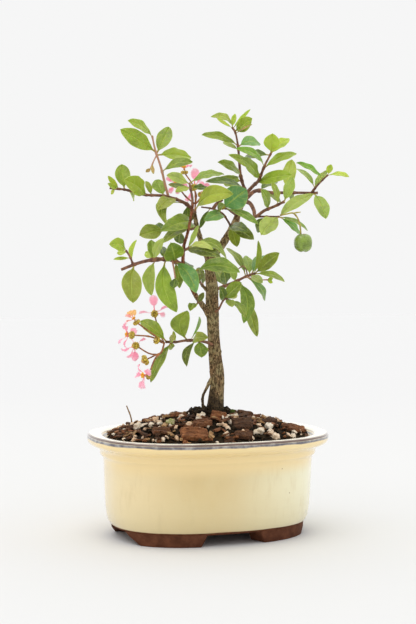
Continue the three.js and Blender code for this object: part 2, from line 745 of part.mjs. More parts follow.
      leaves: [
        [0.98, -46, 142, -14, 10, 32, 0.16],
        [0.88, -39, 101, -28, 8, 40, 0.06],
        [0.56, -15, 149, -8, 12.5, 8, 0.05, -0.26],
        [0.52, -7, 145, 6, 2.5, 40, 0.05, 0.1],
        [0.46, -1, 131, -22, 8, 40, 0.16],
        [0.36, -5, 118, -12, 9.5, 20, 0.05],
        [0.4, -15, 112, -20, 5.5, 25, 0.05, 0.12],
        [0.8, -24, 135, -24, 2.5, 20, 0],
        [0.9, -25, 123, -10, 4.5, 30, 0.05],
        [0.92, -23, 132, -26, 4.5, 40, 0.05],
      ] },
  ],
  branch_low: [
    { radii: [0.6, 0.5],
      path: [[-7, 156, -6], [-8, 154, -11], [-9, 153, -13]],
      leaves: [
        [0.9, -13, 149, -18, 6, 45, 0.22],
        [0.6, -4, 161, -12, 4, 30, 0],
      ] },
  ],
  stub_leaf: [
    { radii: [1.2, 0.7],
      path: [[-2, 163, -1], [-5, 166, 5], [-7, 169, 8]],
      leaves: [
        [0.95, -7, 178, 14, 6.5, 30, 0.05],
        [0.6, -1, 176, 18, 5.5, 40, 0.05],
      ] },
  ],
};

function twigSolid({ path, radii }, swell) {
  return stemSolid(path, radii, 4, Math.round(1.5 * (path.length - 1)), swell);
}

function shootSolid(twigs) {
  const parts = [];
  for (const twig of twigs) {
    parts.push(twigSolid(twig, 0));
    const curve = curveOf(twig.path);
    for (const [share, x, z, depth, width, roll, arch, bend] of twig.leaves) {
      parts.push(leafSolid(curve.getPointAt(share), placed([x, z, depth]), width, roll, arch, bend));
    }
  }
  return mainBody(joined(parts).subtract(woodRoom));
}

const leafGreens = [0x86a442, 0x7c9c3f, 0x93ad4e, 0x6f9440];
const twigRooms = [];
Object.entries(shoots).forEach(([name, twigs], i) => {
  addPiece(tree, `shoot_${name}`, shootSolid(twigs), leafGreens[i % leafGreens.length], 0.45);
  for (const twig of twigs) twigRooms.push(twigSolid(twig, gap));
});

// The trunk and its aerial root stand in a plain hole in the soil
soil = soil.subtract(woodRoom.rotate([0, 0, THREE.MathUtils.radToDeg(-frontTurn)]));

// Flowers: a petal is a plate with a long narrow claw and a cupped, ruffled limb, lying along X
const clawEnd = 0.42 * petalLength;
const limbMiddle = 0.74 * petalLength;
const petalOutline = [[0.2, -0.4, 0], [clawEnd, -0.4, 0.6], [limbMiddle, -petalHalfWidth, 1.9],
  [petalLength, -1.8, 0.9], [petalLength, 1.8, 1.6], [limbMiddle, petalHalfWidth, 1.6],
  [clawEnd, 0.4, 0.6], [0.2, 0.4, 0]];
const petalThickness = 0.65;

function petalSolid(scale) {
  const places = [];
  for (const lift of [petalThickness, 0]) {
    for (const [x, y, z] of petalOutline) places.push(x * scale, y * scale, z + lift);
  }
  const count = petalOutline.length;
  const index = [];
  for (let i = 0; i < count; i += 1) {
    const next = (i + 1) % count;
    index.push(i, i + count, next + count, i, next + count, next);
  }
  // Each face is split across the petal, from the claw to the tip
  const strips = [[0, 1, 6], [0, 6, 7], [1, 2, 5], [1, 5, 6], [2, 3, 4], [2, 4, 5]];
  for (const [a, b, c] of strips) index.push(a, b, c, a + count, c + count, b + count);
  const geometry = new THREE.BufferGeometry();
  geometry.setAttribute('position', new THREE.BufferAttribute(new Float32Array(places), 3));
  geometry.setIndex(index);
  return solidOf(geometry);
}

// A direction seen from the front: to the right, up, and towards the eye
function facing([right, rise, towardsEye]) {
  return new THREE.Vector3(right, -towardsEye, rise).normalize();
}

// A petal's way is given as the eye sees it. Its face turns towards the way the flower faces, then it is
// rolled about its own length.
function petalTurn(axis, [right, rise, towardsEye, roll]) {
  const along = facing([right, rise, towardsEye]);
  const across = new THREE.Vector3().crossVectors(axis, along).normalize();
  const face = new THREE.Vector3().crossVectors(along, across);
  const turn = new THREE.Matrix4().makeBasis(along, across, face);
  return turn.multiply(new THREE.Matrix4().makeRotationX(THREE.MathUtils.degToRad(roll)));
}

// Five petals round a hub with its stamens. The first petal is the larger one.
const hubHeight = 2.4;
const petalRise = 0.6;
const flagScale = 1.15;

function corollaSolid({ centre, axis, size, petals }) {
  const direction = facing(axis);
  const hub = new THREE.CylinderGeometry(1.2, 0.9, hubHeight, 6);
  hub.translate(0, hubHeight / 2, 0);
  const turn = new THREE.Matrix4().makeRotationFromQuaternion(
    new THREE.Quaternion().setFromUnitVectors(new THREE.Vector3(0, 1, 0), direction),
  );
  let corolla = solidOf(hub).transform(turn.elements);
  petals.forEach((petal, i) => {
    const scale = (i === 0 ? flagScale : 1) * size;
    const spread = petalSolid(scale).transform(petalTurn(direction, petal).elements);
    corolla = corolla.add(spread.translate(direction.clone().multiplyScalar(petalRise).toArray()));
  });
  const place = placed(centre).addScaledVector(direction, calyxRadius + gap);
  return corolla.translate(place.toArray());
}

// Umbels: the paths of their pedicels, and blooms with their centre, the way they face, their size, and
// each petal's way (right, up, towards the eye) and roll
const umbels = {
  lower: {
    stems: [
      [[-30, 127, -19.5], [-34, 136, -7], [-36.7, 146.6, -8]],
      [[-30, 127, -19.5], [-39, 134, -26], [-48.5, 140.8, -28]],
      [[-30, 127, -19.5], [-38, 131, -24], [-51.6, 132.4, -37]],
      [[-30, 127, -19.5], [-33, 120, -22], [-39.5, 120, -23], [-48.9, 125.4, -24]],
      [[-30, 127, -19.5], [-32, 121, -24], [-35, 119.5, -27], [-42.5, 115.8, -28]],
      [[-30, 127, -19.5], [-32, 121, -24], [-36, 117, -28.5], [-40.4, 105.4, -33]],
      [[-30, 127, -19.5], [-32.5, 128, -22], [-35, 129, -24]],
    ],
    blooms: [
      { centre: [-36.7, 146.6, -8], axis: [0, 0.12, -1], size: 1,
        petals: [[-0.1, 1, 0, 0], [1, 0.32, -0.1, 62], [-1, -0.15, -0.15, -66],
          [0.55, -0.28, -0.8, 50], [-0.1, -0.3, -0.95, 0]] },
      { centre: [-48.5, 140.8, -28], axis: [-0.55, 0.8, 0.2], size: 0.6,
        petals: [[-0.5, 0.75, 0.7, 0], [0.15, 0.95, 0.1, 60], [-0.95, 0.3, 0.1, -40],
          [-0.75, -0.6, 0.3, 30], [-0.3, 0.6, -0.8, 0]] },
      { centre: [-51.6, 132.4, -37], axis: [-0.8, 0.05, -0.6], size: 0.85,
        petals: [[0.5, 0.3, -0.8, -25], [-0.15, 0.7, 0.3, 10], [-0.55, -0.75, 0.45, -62],
          [-0.15, -0.95, -0.1, -55], [-0.1, 0.5, -0.85, 0]] },
      { centre: [-48.9, 125.4, -24], axis: [-0.35, -0.15, -0.9], size: 0.85,
        petals: [[-0.05, -1, -0.25, 38], [0.9, 0.35, -0.45, 70], [-0.6, -0.78, 0.05, 80],
          [-0.95, -0.1, 0.2, 66], [-0.1, 0.85, -0.4, 50]] },
      { centre: [-40.4, 105.4, -33], axis: [-0.75, 0.05, 0.35], size: 0.85,
        petals: [[0.4, 0.45, 0.75, 45], [-0.35, 0.7, -0.5, -25], [-0.15, -1, -0.1, -8],
          [0.15, -1, 0.5, -4], [-0.6, -0.2, -0.9, 30]] },
    ],
  },
  upper: {
    stems: [
      [[-10.6, 214, -4], [-10, 220, 1], [-11, 231, 7], [-17.4, 240.8, 9]],
      [[-10, 220, 1], [-16, 224.5, -1], [-22.6, 232.8, -3]],
      [[-10, 220, 1], [-9.5, 226, 0], [-11.3, 231, -2]],
      [[-10, 220, 1], [-6, 224.5, 5], [-3, 227.5, 7]],
      [[-10, 220, 1], [-7, 223, -2], [-6, 226, -4]],
    ],
    blooms: [
      { centre: [-17.4, 240.8, 9], axis: [-0.05, 1, 0.1], size: 0.75,
        petals: [[-1, 0.2, -0.3, -15], [-0.6, 0.1, -0.8, 0], [0.1, 0.2, -1, 0],
          [0.6, 0.12, -0.8, 0], [0.5, 0.12, -0.85, 0]] },
      { centre: [-22.6, 232.8, -3], axis: [-0.2, 0.1, 0.95], size: 0.7,
        petals: [[1, -0.1, 0.3, 20], [-0.85, 0.5, 0, 20], [-0.4, -0.8, 0.1, 10],
          [-0.1, 1, 0.1, 30], [0.45, -0.8, 0.3, 40]] },
      { centre: [-11.3, 231, -2], axis: [0.2, 0.15, -0.95], size: 1.05,
        petals: [[0, 1, -0.1, 0], [1, -0.05, -0.1, 60], [-1, 0.1, -0.3, 45],
          [-0.65, -0.75, -0.2, 58], [0.6, 0.6, -0.5, 60]] },
      { centre: [-3, 227.5, 7], axis: [0.1, 0.5, -0.85], size: 0.7,
        petals: [[-0.4, 0.75, -0.3, 40], [0.9, 0.3, -0.2, 50], [0.2, 0.7, -0.7, 0],
          [0.6, -0.5, -0.6, 20], [-0.6, -0.4, -0.6, 20]] },
    ],
  },
};

Object.entries(umbels).forEach(([name, { stems, blooms }]) => {
  const parts = stems.map((path) => stemSolid(path, [0.5, 0.45], 4, path.length));
  for (const path of stems) {
    const calyx = mergeVertices(bare(new THREE.IcosahedronGeometry(calyxRadius, 0)));
    parts.push(solidOf(calyx).translate(placed(path[path.length - 1]).toArray()));
  }
  let umbel = joined(parts);
  for (const room of [woodRoom, ...twigRooms]) umbel = umbel.subtract(room);
  addPiece(tree, `umbel_${name}`, mainBody(umbel), 0x8a6a3c, 0.6);
  blooms.forEach((bloom, i) => {
    addPiece(tree, `bloom_${name}_${i + 1}`, corollaSolid(bloom), 0xf59ab8, 0.5);
  });
});

// Cherry: three faint lobes, dimpled at both ends, hanging from its stalk
function cherrySolid() {
  const profile = [[0, 5], [2.4, 5.6], [5, 4], [6, 0.6], [5.2, -3.6], [2.4, -5.6], [0, -5.2]];
  const points = profile.reverse().map(([radius, z]) => new THREE.Vector2(radius, z));
  const fruit = new THREE.LatheGeometry(points, 12);
  fruit.rotateX(Math.PI / 2);
  return solidOf(reshape(fruit, (point) => {
    const lobe = 1 + 0.05 * Math.cos(3 * Math.atan2(point.y, point.x));
    const scale = (lobe * cherryRadius) / 6;
    point.set(point.x * scale, point.y * scale, point.z * scale);
  }));
}

const cherryPlace = [61.6, 194.7, -16];
const cherryStalk = [[46.6, 213, -15.2], [51, 213.9, -17], [55, 214.5, -17.5], [57.7, 211.9, -17.3],
  [59.6, 207, -17], [60.6, 198, -16]];
const stalkStub = [[54.4, 214.4, -17.4], [60, 215.2, -19]];
let cherry = cherrySolid().translate(placed(cherryPlace).toArray());
cherry = cherry.add(stemSolid(cherryStalk, [0.5, 0.5, 0.6], 5, 9));
cherry = cherry.add(stemSolid(stalkStub, [0.45, 0.35], 5, 2));
for (const room of twigRooms) cherry = cherry.subtract(room);
addPiece(tree, 'cherry', mainBody(cherry), 0x9ec44a, 0.3);

// Moss tuft at the trunk's foot: a low cushion with short upright shoots
const mossPlace = [15, -2, 0, 0, 0];

function mossSolid(swell) {
  const cushion = new THREE.DodecahedronGeometry(0.5, 0);
  cushion.scale(7 + swell, 5.6 + swell, 4.4 + swell);
  let moss = solidOf(cushion);
  for (let i = 0; i < 7; i += 1) {
    const shoot = new THREE.ConeGeometry(0.8, 4.2, 4);
    shoot.rotateX(Math.PI / 2);
    shoot.translate(0, 0, 2.6);
    moss = moss.add(solidOf(shoot).rotate([26 * Math.sin(2.4 * i), 26 * Math.cos(2.4 * i), 0]));
  }
  return laid(moss, mossPlace, 0.6);
}

addPiece(bonsai, 'moss_tuft', mossSolid(0), 0x5f7a2c, 0.95);
soilPockets.push(mossSolid(2 * gap));

// Straw: a dry stalk that stands in the soil at the left of the mound
const strawPath = [[-51, 68, 5], [-52, 77, 5], [-55, 85, 4]];
const strawRadii = [0.55, 0.4];
addPiece(tree, 'straw', stemSolid(strawPath, strawRadii, 4, 4), 0xb08a5c, 0.8);
const strawRoom = stemSolid(strawPath, strawRadii, 4, 4, gap);
soilPockets.push(strawRoom.rotate([0, 0, THREE.MathUtils.radToDeg(-frontTurn)]));
for (const pocket of soilPockets) soil = soil.subtract(pocket);
addPiece(bonsai, 'soil', mainBody(soil), 0x2e221b, 0.95);

// The origin is under the middle of the whole part's box, which the crown makes wider than the pot
const part = new THREE.Group();
part.add(bonsai);
const middle = new THREE.Box3().setFromObject(part, true).getCenter(new THREE.Vector3());
bonsai.position.set(-middle.x, -middle.y, 0);
part.updateMatrixWorld(true);

export default part;
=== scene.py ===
# Barbados cherry bonsai in an oval glazed pot. Lengths in the tables are in millimetres.
import json
import math
import random

import bpy
from mathutils import Matrix, Quaternion, Vector, noise

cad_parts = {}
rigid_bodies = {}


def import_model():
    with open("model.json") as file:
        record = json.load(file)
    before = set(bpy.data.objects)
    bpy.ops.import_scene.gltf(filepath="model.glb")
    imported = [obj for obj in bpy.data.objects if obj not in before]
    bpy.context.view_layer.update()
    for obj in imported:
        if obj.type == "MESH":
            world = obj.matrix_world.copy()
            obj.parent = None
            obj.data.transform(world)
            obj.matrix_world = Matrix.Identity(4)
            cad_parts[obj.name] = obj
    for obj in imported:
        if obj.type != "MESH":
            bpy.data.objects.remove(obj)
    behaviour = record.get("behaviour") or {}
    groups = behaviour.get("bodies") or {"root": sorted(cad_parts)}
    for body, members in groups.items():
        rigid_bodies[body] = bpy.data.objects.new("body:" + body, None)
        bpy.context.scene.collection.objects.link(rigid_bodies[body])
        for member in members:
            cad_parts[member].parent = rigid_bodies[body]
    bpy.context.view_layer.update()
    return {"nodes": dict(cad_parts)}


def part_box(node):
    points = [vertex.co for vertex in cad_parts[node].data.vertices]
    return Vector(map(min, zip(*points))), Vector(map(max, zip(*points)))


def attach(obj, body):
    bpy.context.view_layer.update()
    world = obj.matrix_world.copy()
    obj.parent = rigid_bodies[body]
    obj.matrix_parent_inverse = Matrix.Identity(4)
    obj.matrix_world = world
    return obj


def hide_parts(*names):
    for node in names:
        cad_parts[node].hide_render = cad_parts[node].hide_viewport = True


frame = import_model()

mm = 0.001
potLow, potHigh = (Vector(corner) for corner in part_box("pot"))
potMiddle = (potLow + potHigh) / 2

# How the tree was laid out: seen from this eye point, and turned in the pot by this angle
layout = {
    "eye": Vector((-1, -933, 187.4)),
    "frontTurn": math.radians(22.3),
    "crownDepth": 1.5,
}
treeTurn = Matrix.Rotation(-layout["frontTurn"], 4, "Z")
potShift = Matrix.Translation((potMiddle.x, potMiddle.y, 0))
toFrame = potShift @ treeTurn @ Matrix.Scale(mm, 4)      # tree layout, mm, to the frame
potToFrame = potShift @ Matrix.Scale(mm, 4)              # pot layout, mm, to the frame


def placed(reading):
    x, z, depth = reading                                # where it shows, and how far back it lies
    eye = layout["eye"]
    sight = Vector((x, 0, z)) - eye
    return eye + sight * (1 + layout["crownDepth"] * depth / -eye.y)


def curvePoints(path, perSpan=16):
    # A centripetal Catmull-Rom curve through the placed points, as the tree's stems follow
    knots = [placed(reading) for reading in path]
    knots = [2 * knots[0] - knots[1]] + knots + [2 * knots[-1] - knots[-2]]
    points = []
    for i in range(1, len(knots) - 2):
        before, start, end, after = knots[i - 1:i + 3]
        spanBefore = max((start - before).length, 1e-6) ** 0.5
        span = max((end - start).length, 1e-6) ** 0.5
        spanAfter = max((after - end).length, 1e-6) ** 0.5
        along = (end - start) / span
        leave = ((start - before) / spanBefore - (end - before) / (spanBefore + span) + along) * span
        reach = (along - (after - start) / (span + spanAfter) + (after - end) / spanAfter) * span
        for step in range(perSpan):
            t = step / perSpan
            bend = start + leave * t + (3 * (end - start) - 2 * leave - reach) * t ** 2
            points.append(bend + (2 * (start - end) + leave + reach) * t ** 3)
    points.append(knots[-2])
    return points


def evenPoints(points, shares):
    # The points at these shares of the curve's length
    lengths = [0]
    for a, b in zip(points, points[1:]):
        lengths.append(lengths[-1] + (b - a).length)
    found = []
    for share in shares:
        wanted = share * lengths[-1]
        i = 1
        while i < len(lengths) - 1 and lengths[i] < wanted:
            i += 1
        part = (wanted - lengths[i - 1]) / max(lengths[i] - lengths[i - 1], 1e-9)
        found.append(points[i - 1].lerp(points[i], part))
    return found


def readList(values, share):
    # A value from an even list, such as a stem's radii
    place = min(max(share, 0), 1) * (len(values) - 1)
    low = min(int(place), len(values) - 2)
    return values[low] + (values[low + 1] - values[low]) * (place - low)


def turned(axis, degrees):
    return Matrix.Rotation(math.radians(degrees), 3, axis)


def wander(point, scale, seed=0):
    return noise.noise(Vector(point) * scale + Vector((seed * 7.3, seed * 3.1, seed * 5.7)))


# Selecting and finishing
def deselectAll():
    for other in bpy.context.view_layer.objects:
        other.select_set(False)


def makeActive(piece):
    deselectAll()
    piece.select_set(True)
    bpy.context.view_layer.objects.active = piece


def editMode(piece, action="DESELECT"):
    makeActive(piece)
    bpy.ops.object.mode_set(mode="EDIT")
    bpy.ops.mesh.select_all(action=action)


def objectMode():
    bpy.ops.object.mode_set(mode="OBJECT")


def named(name):
    # The piece that was just added, under its own name
    piece = bpy.context.active_object
    piece.name = name
    return piece


def faceOutwards(piece):
    editMode(piece, "SELECT")
    bpy.ops.mesh.normals_make_consistent(inside=False)
    objectMode()


def slicedBlock(name, slices, halved=False):
    # A unit block cut into slices along X, halved first along every way if it is to bend
    bpy.ops.mesh.primitive_cube_add(size=1, location=(0, 0, 0))
    block = named(name)
    editMode(block, "SELECT")
    if halved:
        bpy.ops.mesh.subdivide(number_cuts=1)
    for cut in range(1, slices):
        bpy.ops.mesh.select_all(action="SELECT")
        bpy.ops.mesh.bisect(plane_co=(cut / slices - 0.5, 0, 0), plane_no=(1, 0, 0))
    bpy.ops.mesh.select_all(action="SELECT")
    return block


def selectVertices(piece, wanted):
    # Selects in edit mode by place; wanted is a test on the vertex's place
    objectMode()
    for part in (piece.data.polygons, piece.data.edges):
        for item in part:
            item.select = False
    for vertex in piece.data.vertices:
        vertex.select = bool(wanted(vertex.co))
    bpy.ops.object.mode_set(mode="EDIT")


def applied(piece, kind, **settings):
    makeActive(piece)
    modifier = piece.modifiers.new(kind.title(), kind)
    for key, value in settings.items():
        setattr(modifier, key, value)
    bpy.ops.object.modifier_apply(modifier=modifier.name)
    return piece


def joinPieces(pieces, name):
    makeActive(pieces[0])
    for piece in pieces:
        piece.select_set(True)
    if len(pieces) > 1:
        bpy.ops.object.join()
    joined = bpy.context.view_layer.objects.active
    joined.name = name
    joined.data.name = name
    return joined


def copyOf(pattern, name):
    copy = pattern.copy()
    copy.data = pattern.data.copy()
    copy.name = name
    bpy.context.scene.collection.objects.link(copy)
    return copy


def moveVertices(piece, move):
    for vertex in piece.data.vertices:
        vertex.co = move(vertex.co)
    piece.data.update()


def displaced(piece, offset):
    # Moves each vertex along its normal by what offset gives for its place and normal
    mesh = piece.data
    shifts = [offset(vertex.co, vertex.normal) for vertex in mesh.vertices]
    normals = [vertex.normal.copy() for vertex in mesh.vertices]
    for vertex, shift, normal in zip(mesh.vertices, shifts, normals):
        vertex.co += normal * shift
    mesh.update()
    return piece


def smooth(piece, angle=None):
    makeActive(piece)
    if angle is None:
        bpy.ops.object.shade_smooth()
    else:
        bpy.ops.object.shade_smooth_by_angle(angle=math.radians(angle))


def dress(piece, materials):
    piece.data.materials.clear()
    for material in materials:
        piece.data.materials.append(material)


def finishPiece(piece, slotName, *nodes):
    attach(piece, "root")
    if nodes:
        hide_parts(*nodes)


def seatPiece(piece, toPlace, angle, slotName, *nodes, looks=None):
    # Brings a piece to the frame, then dresses and smooths it, attaches it to the root body and hides the
    # frame nodes it stands for
    moveVertices(piece, lambda co: toPlace @ co)
    if looks:
        dress(piece, looks)
    smooth(piece, angle)
    finishPiece(piece, slotName, *nodes)


def setAttribute(piece, name, value):
    # One number for the whole piece, kept on its faces
    attribute = piece.data.attributes.new(name, "FLOAT", "FACE")
    attribute.data.foreach_set("value", [value] * len(piece.data.polygons))


def removePiece(piece):
    bpy.data.objects.remove(piece, do_unlink=True)


# Looks: small helpers for node trees, shared groups, then one function for each finish
def feed(tree, socket, value):
    # Links another node's output to a socket, or sets the socket to a plain value
    if isinstance(value, bpy.types.NodeSocket):
        tree.links.new(value, socket)
    else:
        socket.default_value = value


def addNode(tree, kind, inputs=None, **settings):
    node = tree.nodes.new(kind)
    for key, value in settings.items():
        setattr(node, key, value)
    for label, value in (inputs or {}).items():
        feed(tree, node.inputs[label], value)
    return node


def maths(tree, operation, a, b=0.0, c=0.0, clamp=False):
    node = addNode(tree, "ShaderNodeMath", {0: a, 1: b, 2: c}, operation=operation, use_clamp=clamp)
    return node.outputs[0]


def remap(tree, value, low, high, toLow=0.0, toHigh=1.0):
    inputs = {"Value": value, "From Min": low, "From Max": high, "To Min": toLow, "To Max": toHigh}
    return addNode(tree, "ShaderNodeMapRange", inputs, interpolation_type="SMOOTHSTEP").outputs[0]


def blend(tree, mask, below, above):
    # Colours mixed by a mask: below where it is 0, above where it is 1
    node = addNode(tree, "ShaderNodeMix", {0: mask, 6: below, 7: above}, data_type="RGBA")
    return node.outputs[2]


def rgb(red, green, blue):
    # A colour as seen on a screen, 0 to 255, made linear
    def straight(value):
        value /= 255
        return value / 12.92 if value <= 0.04045 else ((value + 0.055) / 1.055) ** 2.4
    return straight(red), straight(green), straight(blue), 1


def palette(**colors):
    return {name: rgb(*color) for name, color in colors.items()}


def stretched(tree, place, scale=(1, 1, 1), shift=(0, 0, 0)):
    return addNode(tree, "ShaderNodeMapping", {"Vector": place, "Scale": scale, "Location": shift}).outputs[0]


def tint(tree, mask, share, below, above):
    # Colours mixed by this share of a mask
    return blend(tree, maths(tree, "MULTIPLY", mask, share), below, above)


def ownValue(tree, name):
    # The number that each piece keeps under this name
    return addNode(tree, "ShaderNodeAttribute", attribute_name=name).outputs["Fac"]


def ownMap(tree, name):
    return addNode(tree, "ShaderNodeUVMap", uv_map=name).outputs[0]


def partsOf(tree, vector):
    return addNode(tree, "ShaderNodeSeparateXYZ", {0: vector}).outputs


def reachAlong(tree, place, way):
    return addNode(tree, "ShaderNodeVectorMath", {0: place, 1: way}, operation="DOT_PRODUCT").outputs["Value"]


def noiseAt(tree, place, scale, detail, roughness=0.5):
    inputs = {"Vector": place, "Scale": scale, "Detail": detail, "Roughness": roughness}
    return addNode(tree, "ShaderNodeTexNoise", inputs).outputs["Fac"]


def bump(tree, height, distance, strength=1.0, normal=None):
    inputs = {"Height": height, "Distance": distance, "Strength": strength}
    if normal is not None:
        inputs["Normal"] = normal
    return addNode(tree, "ShaderNodeBump", inputs).outputs[0]


def newMaterial(name):
    # A material with its nodes, its shader and the place on the piece
    material = bpy.data.materials.new(name)
    material.use_nodes = True
    tree = material.node_tree
    return material, tree, tree.nodes["Principled BSDF"], addNode(tree,
                                                                  "ShaderNodeTexCoord").outputs["Object"]


shaderNames = {
    "color": "Base Color", "roughness": "Roughness", "coat": "Coat Weight", "coatRoughness": "Coat Roughness",
    "normal": "Normal", "specular": "Specular IOR Level", "metallic": "Metallic", "glow": "Subsurface Weight",
    "glowScale": "Subsurface Scale", "glowRadius": "Subsurface Radius", "lit": "Emission Color",
    "litStrength": "Emission Strength",
}


def setShader(tree, shader, **values):
    for key, value in values.items():
        feed(tree, shader.inputs[shaderNames[key]], value)


def newGroup(name, numbers, outputs=("Mask",)):
    # A node group that takes a Vector and these numbers and puts out masks
    group = bpy.data.node_groups.new(name, "ShaderNodeTree")
    group.interface.new_socket(name="Vector", in_out="INPUT", socket_type="NodeSocketVector")
    for way, labels in (("INPUT", numbers), ("OUTPUT", outputs)):
        for label in labels:
            group.interface.new_socket(name=label, in_out=way, socket_type="NodeSocketFloat")
    start = group.nodes.new("NodeGroupInput")
    end = group.nodes.new("NodeGroupOutput")
    return group, start.outputs, end.inputs


def useGroup(tree, group, **inputs):
    return addNode(tree, "ShaderNodeGroup", inputs, node_tree=group).outputs


def mottleGroup():
    # Soft patches: a noise cut to the range from Low to High
    group, given, out = newGroup("mottle", ("Scale", "Detail", "Low", "High"))
    cloud = noiseAt(group, given["Vector"], given["Scale"], given["Detail"], 0.6)
    feed(group, out["Mask"], remap(group, cloud, given["Low"], given["High"]))
    return group


def fleckGroup():
    # Small round flecks: cells of a Voronoi pattern nearer to their middle than Size, some left out
    group, given, out = newGroup("flecks", ("Scale", "Size", "Share"))
    cells = addNode(group, "ShaderNodeTexVoronoi", {"Vector": given["Vector"], "Scale": given["Scale"]})
    draw = addNode(group, "ShaderNodeSeparateColor", {0: cells.outputs["Color"]}).outputs[0]
    kept = maths(group, "LESS_THAN", draw, given["Share"])
    half = maths(group, "MULTIPLY", given["Size"], 0.5)
    disc = remap(group, cells.outputs["Distance"], given["Size"], half)
    feed(group, out["Mask"], maths(group, "MULTIPLY", disc, kept))
    return group


def bandGroup():
    # A band of a coordinate from From to To, with soft edges and a wavering course
    group, given, out = newGroup("wavering band", ("Value", "From", "To", "Soft", "Waver", "Scale"))
    sway = maths(group, "SUBTRACT", noiseAt(group, given["Vector"], given["Scale"], 3), 0.5)
    value = maths(group, "MULTIPLY_ADD", sway, given["Waver"], given["Value"])
    rise = remap(group, value, maths(group, "SUBTRACT", given["From"], given["Soft"]), given["From"])
    fall = remap(group, value, given["To"], maths(group, "ADD", given["To"], given["Soft"]), 1.0, 0.0)
    feed(group, out["Mask"], maths(group, "MULTIPLY", rise, fall))
    return group


def grainGroup():
    # Fibres along the first direction of Vector: a noise drawn out along it
    group, given, out = newGroup("fibre grain", ("Scale", "Stretch", "Low", "High"))
    parts = partsOf(group, given["Vector"])
    along = maths(group, "DIVIDE", parts[0], given["Stretch"])
    drawn = addNode(group, "ShaderNodeCombineXYZ", {0: along, 1: parts[1], 2: parts[2]}).outputs[0]
    cloud = noiseAt(group, drawn, given["Scale"], 4, 0.62)
    feed(group, out["Mask"], remap(group, cloud, given["Low"], given["High"]))
    return group


mottle = mottleGroup()
flecks = fleckGroup()
band = bandGroup()
grain = grainGroup()


def mottled(tree, place, scale, detail, low, high):
    return useGroup(tree, mottle, Vector=place, Scale=scale, Detail=detail, Low=low, High=high)["Mask"]


def flecked(tree, place, scale, size, share):
    return useGroup(tree, flecks, Vector=place, Scale=scale, Size=size, Share=share)["Mask"]


def banded(tree, value, place, start, end, soft, waver, scale):
    inputs = {"Value": value, "Vector": place, "From": start, "To": end, "Soft": soft, "Waver": waver,
              "Scale": scale}
    return useGroup(tree, band, **inputs)["Mask"]


def grained(tree, place, scale, stretch, low, high):
    return useGroup(tree, grain, Vector=place, Scale=scale, Stretch=stretch, Low=low, High=high)["Mask"]


# Pot: an oval ring is extruded along this outline of (inset from the rim, height), the way it is thrown
potShape = {
    "halfLength": 81, "halfWidth": 61.5, "ovalPower": 2.4, "turns": 144,
    "outline": [
        (30, 7.5), (17.5, 7.5), (16.2, 7.6), (15.4, 8.2), (14.5, 9.3), (12.8, 13), (11.8, 20), (11.2, 32),
        (10.8, 44), (10.5, 51), (9.9, 53.2), (8.6, 54.2), (8.3, 54.9), (8.25, 56.4), (8, 57.4), (7.2, 58.7),
        (5.4, 59.7), (2.8, 60.7), (1, 62), (0.25, 63.4), (0, 65), (0.1, 66.4), (0.6, 67.6), (1.5, 68.3),
        (2.6, 68.4), (5, 68.2), (7.6, 67.9), (9.2, 67.2), (10, 66), (11, 63), (15, 56.5), (17, 48),
        (18.4, 20), (20, 15), (27, 13), (30, 13),
    ],
    "drainRadius": 6, "drainPlace": 34, "floorUnder": 7.5, "floorTop": 13,
}
footShape = {
    "height": 9, "inset": 16.3, "depth": 13, "topRange": (11, 78), "bottomRange": (30, 74), "steps": 28,
    "lean": 0.9, "edge": 2.2,
}


def ovalPoint(inset, angle):
    # A point of the superellipse that keeps this inset from the rim, in pot millimetres
    c, s = math.cos(angle), math.sin(angle)
    power = 2 / potShape["ovalPower"]
    x = (potShape["halfLength"] - inset) * math.copysign(abs(c) ** power, c)
    y = (potShape["halfWidth"] - inset) * math.copysign(abs(s) ** power, s)
    return x, y


def ovalShell(name, outline, turns, closeStart, closeEnd):
    # A circle is laid on the oval, then extruded and resized from each point of the outline to the next
    inset, height = outline[0]
    bpy.ops.mesh.primitive_circle_add(vertices=turns, radius=1, location=(0, 0, 0))
    shell = named(name)
    moveVertices(shell, lambda co: Vector((*ovalPoint(inset, math.atan2(co.y, co.x)), height)))
    editMode(shell, "SELECT")
    if closeStart:
        bpy.ops.mesh.extrude_region_move()
        bpy.ops.mesh.merge(type="CENTER")
        selectVertices(shell, lambda co: Vector((co.x, co.y)).length > 1)
    for lastPoint, point in zip(outline, outline[1:]):
        stretchX = (potShape["halfLength"] - point[0]) / (potShape["halfLength"] - lastPoint[0])
        stretchY = (potShape["halfWidth"] - point[0]) / (potShape["halfWidth"] - lastPoint[0])
        bpy.ops.mesh.extrude_edges_move(TRANSFORM_OT_translate={"value": (0, 0, point[1] - lastPoint[1])})
        bpy.ops.transform.resize(value=(stretchX, stretchY, 1), center_override=(0, 0, point[1]))
    if closeEnd:
        bpy.ops.mesh.extrude_region_move()
        bpy.ops.mesh.merge(type="CENTER")
    objectMode()
    faceOutwards(shell)
    return shell


def modelPotBody():
    body = ovalShell("potBody", potShape["outline"], potShape["turns"], True, True)
    drains = []
    for side in (-1, 1):
        middle = (side * potShape["drainPlace"], 0, (potShape["floorUnder"] + potShape["floorTop"]) / 2)
        bpy.ops.mesh.primitive_cylinder_add(vertices=48, radius=potShape["drainRadius"], depth=12,
                                            location=middle)
        drains.append(bpy.context.active_object)
    for drain in drains:
        applied(body, "BOOLEAN", object=drain, operation="DIFFERENCE", solver="EXACT")
        removePiece(drain)
    return body


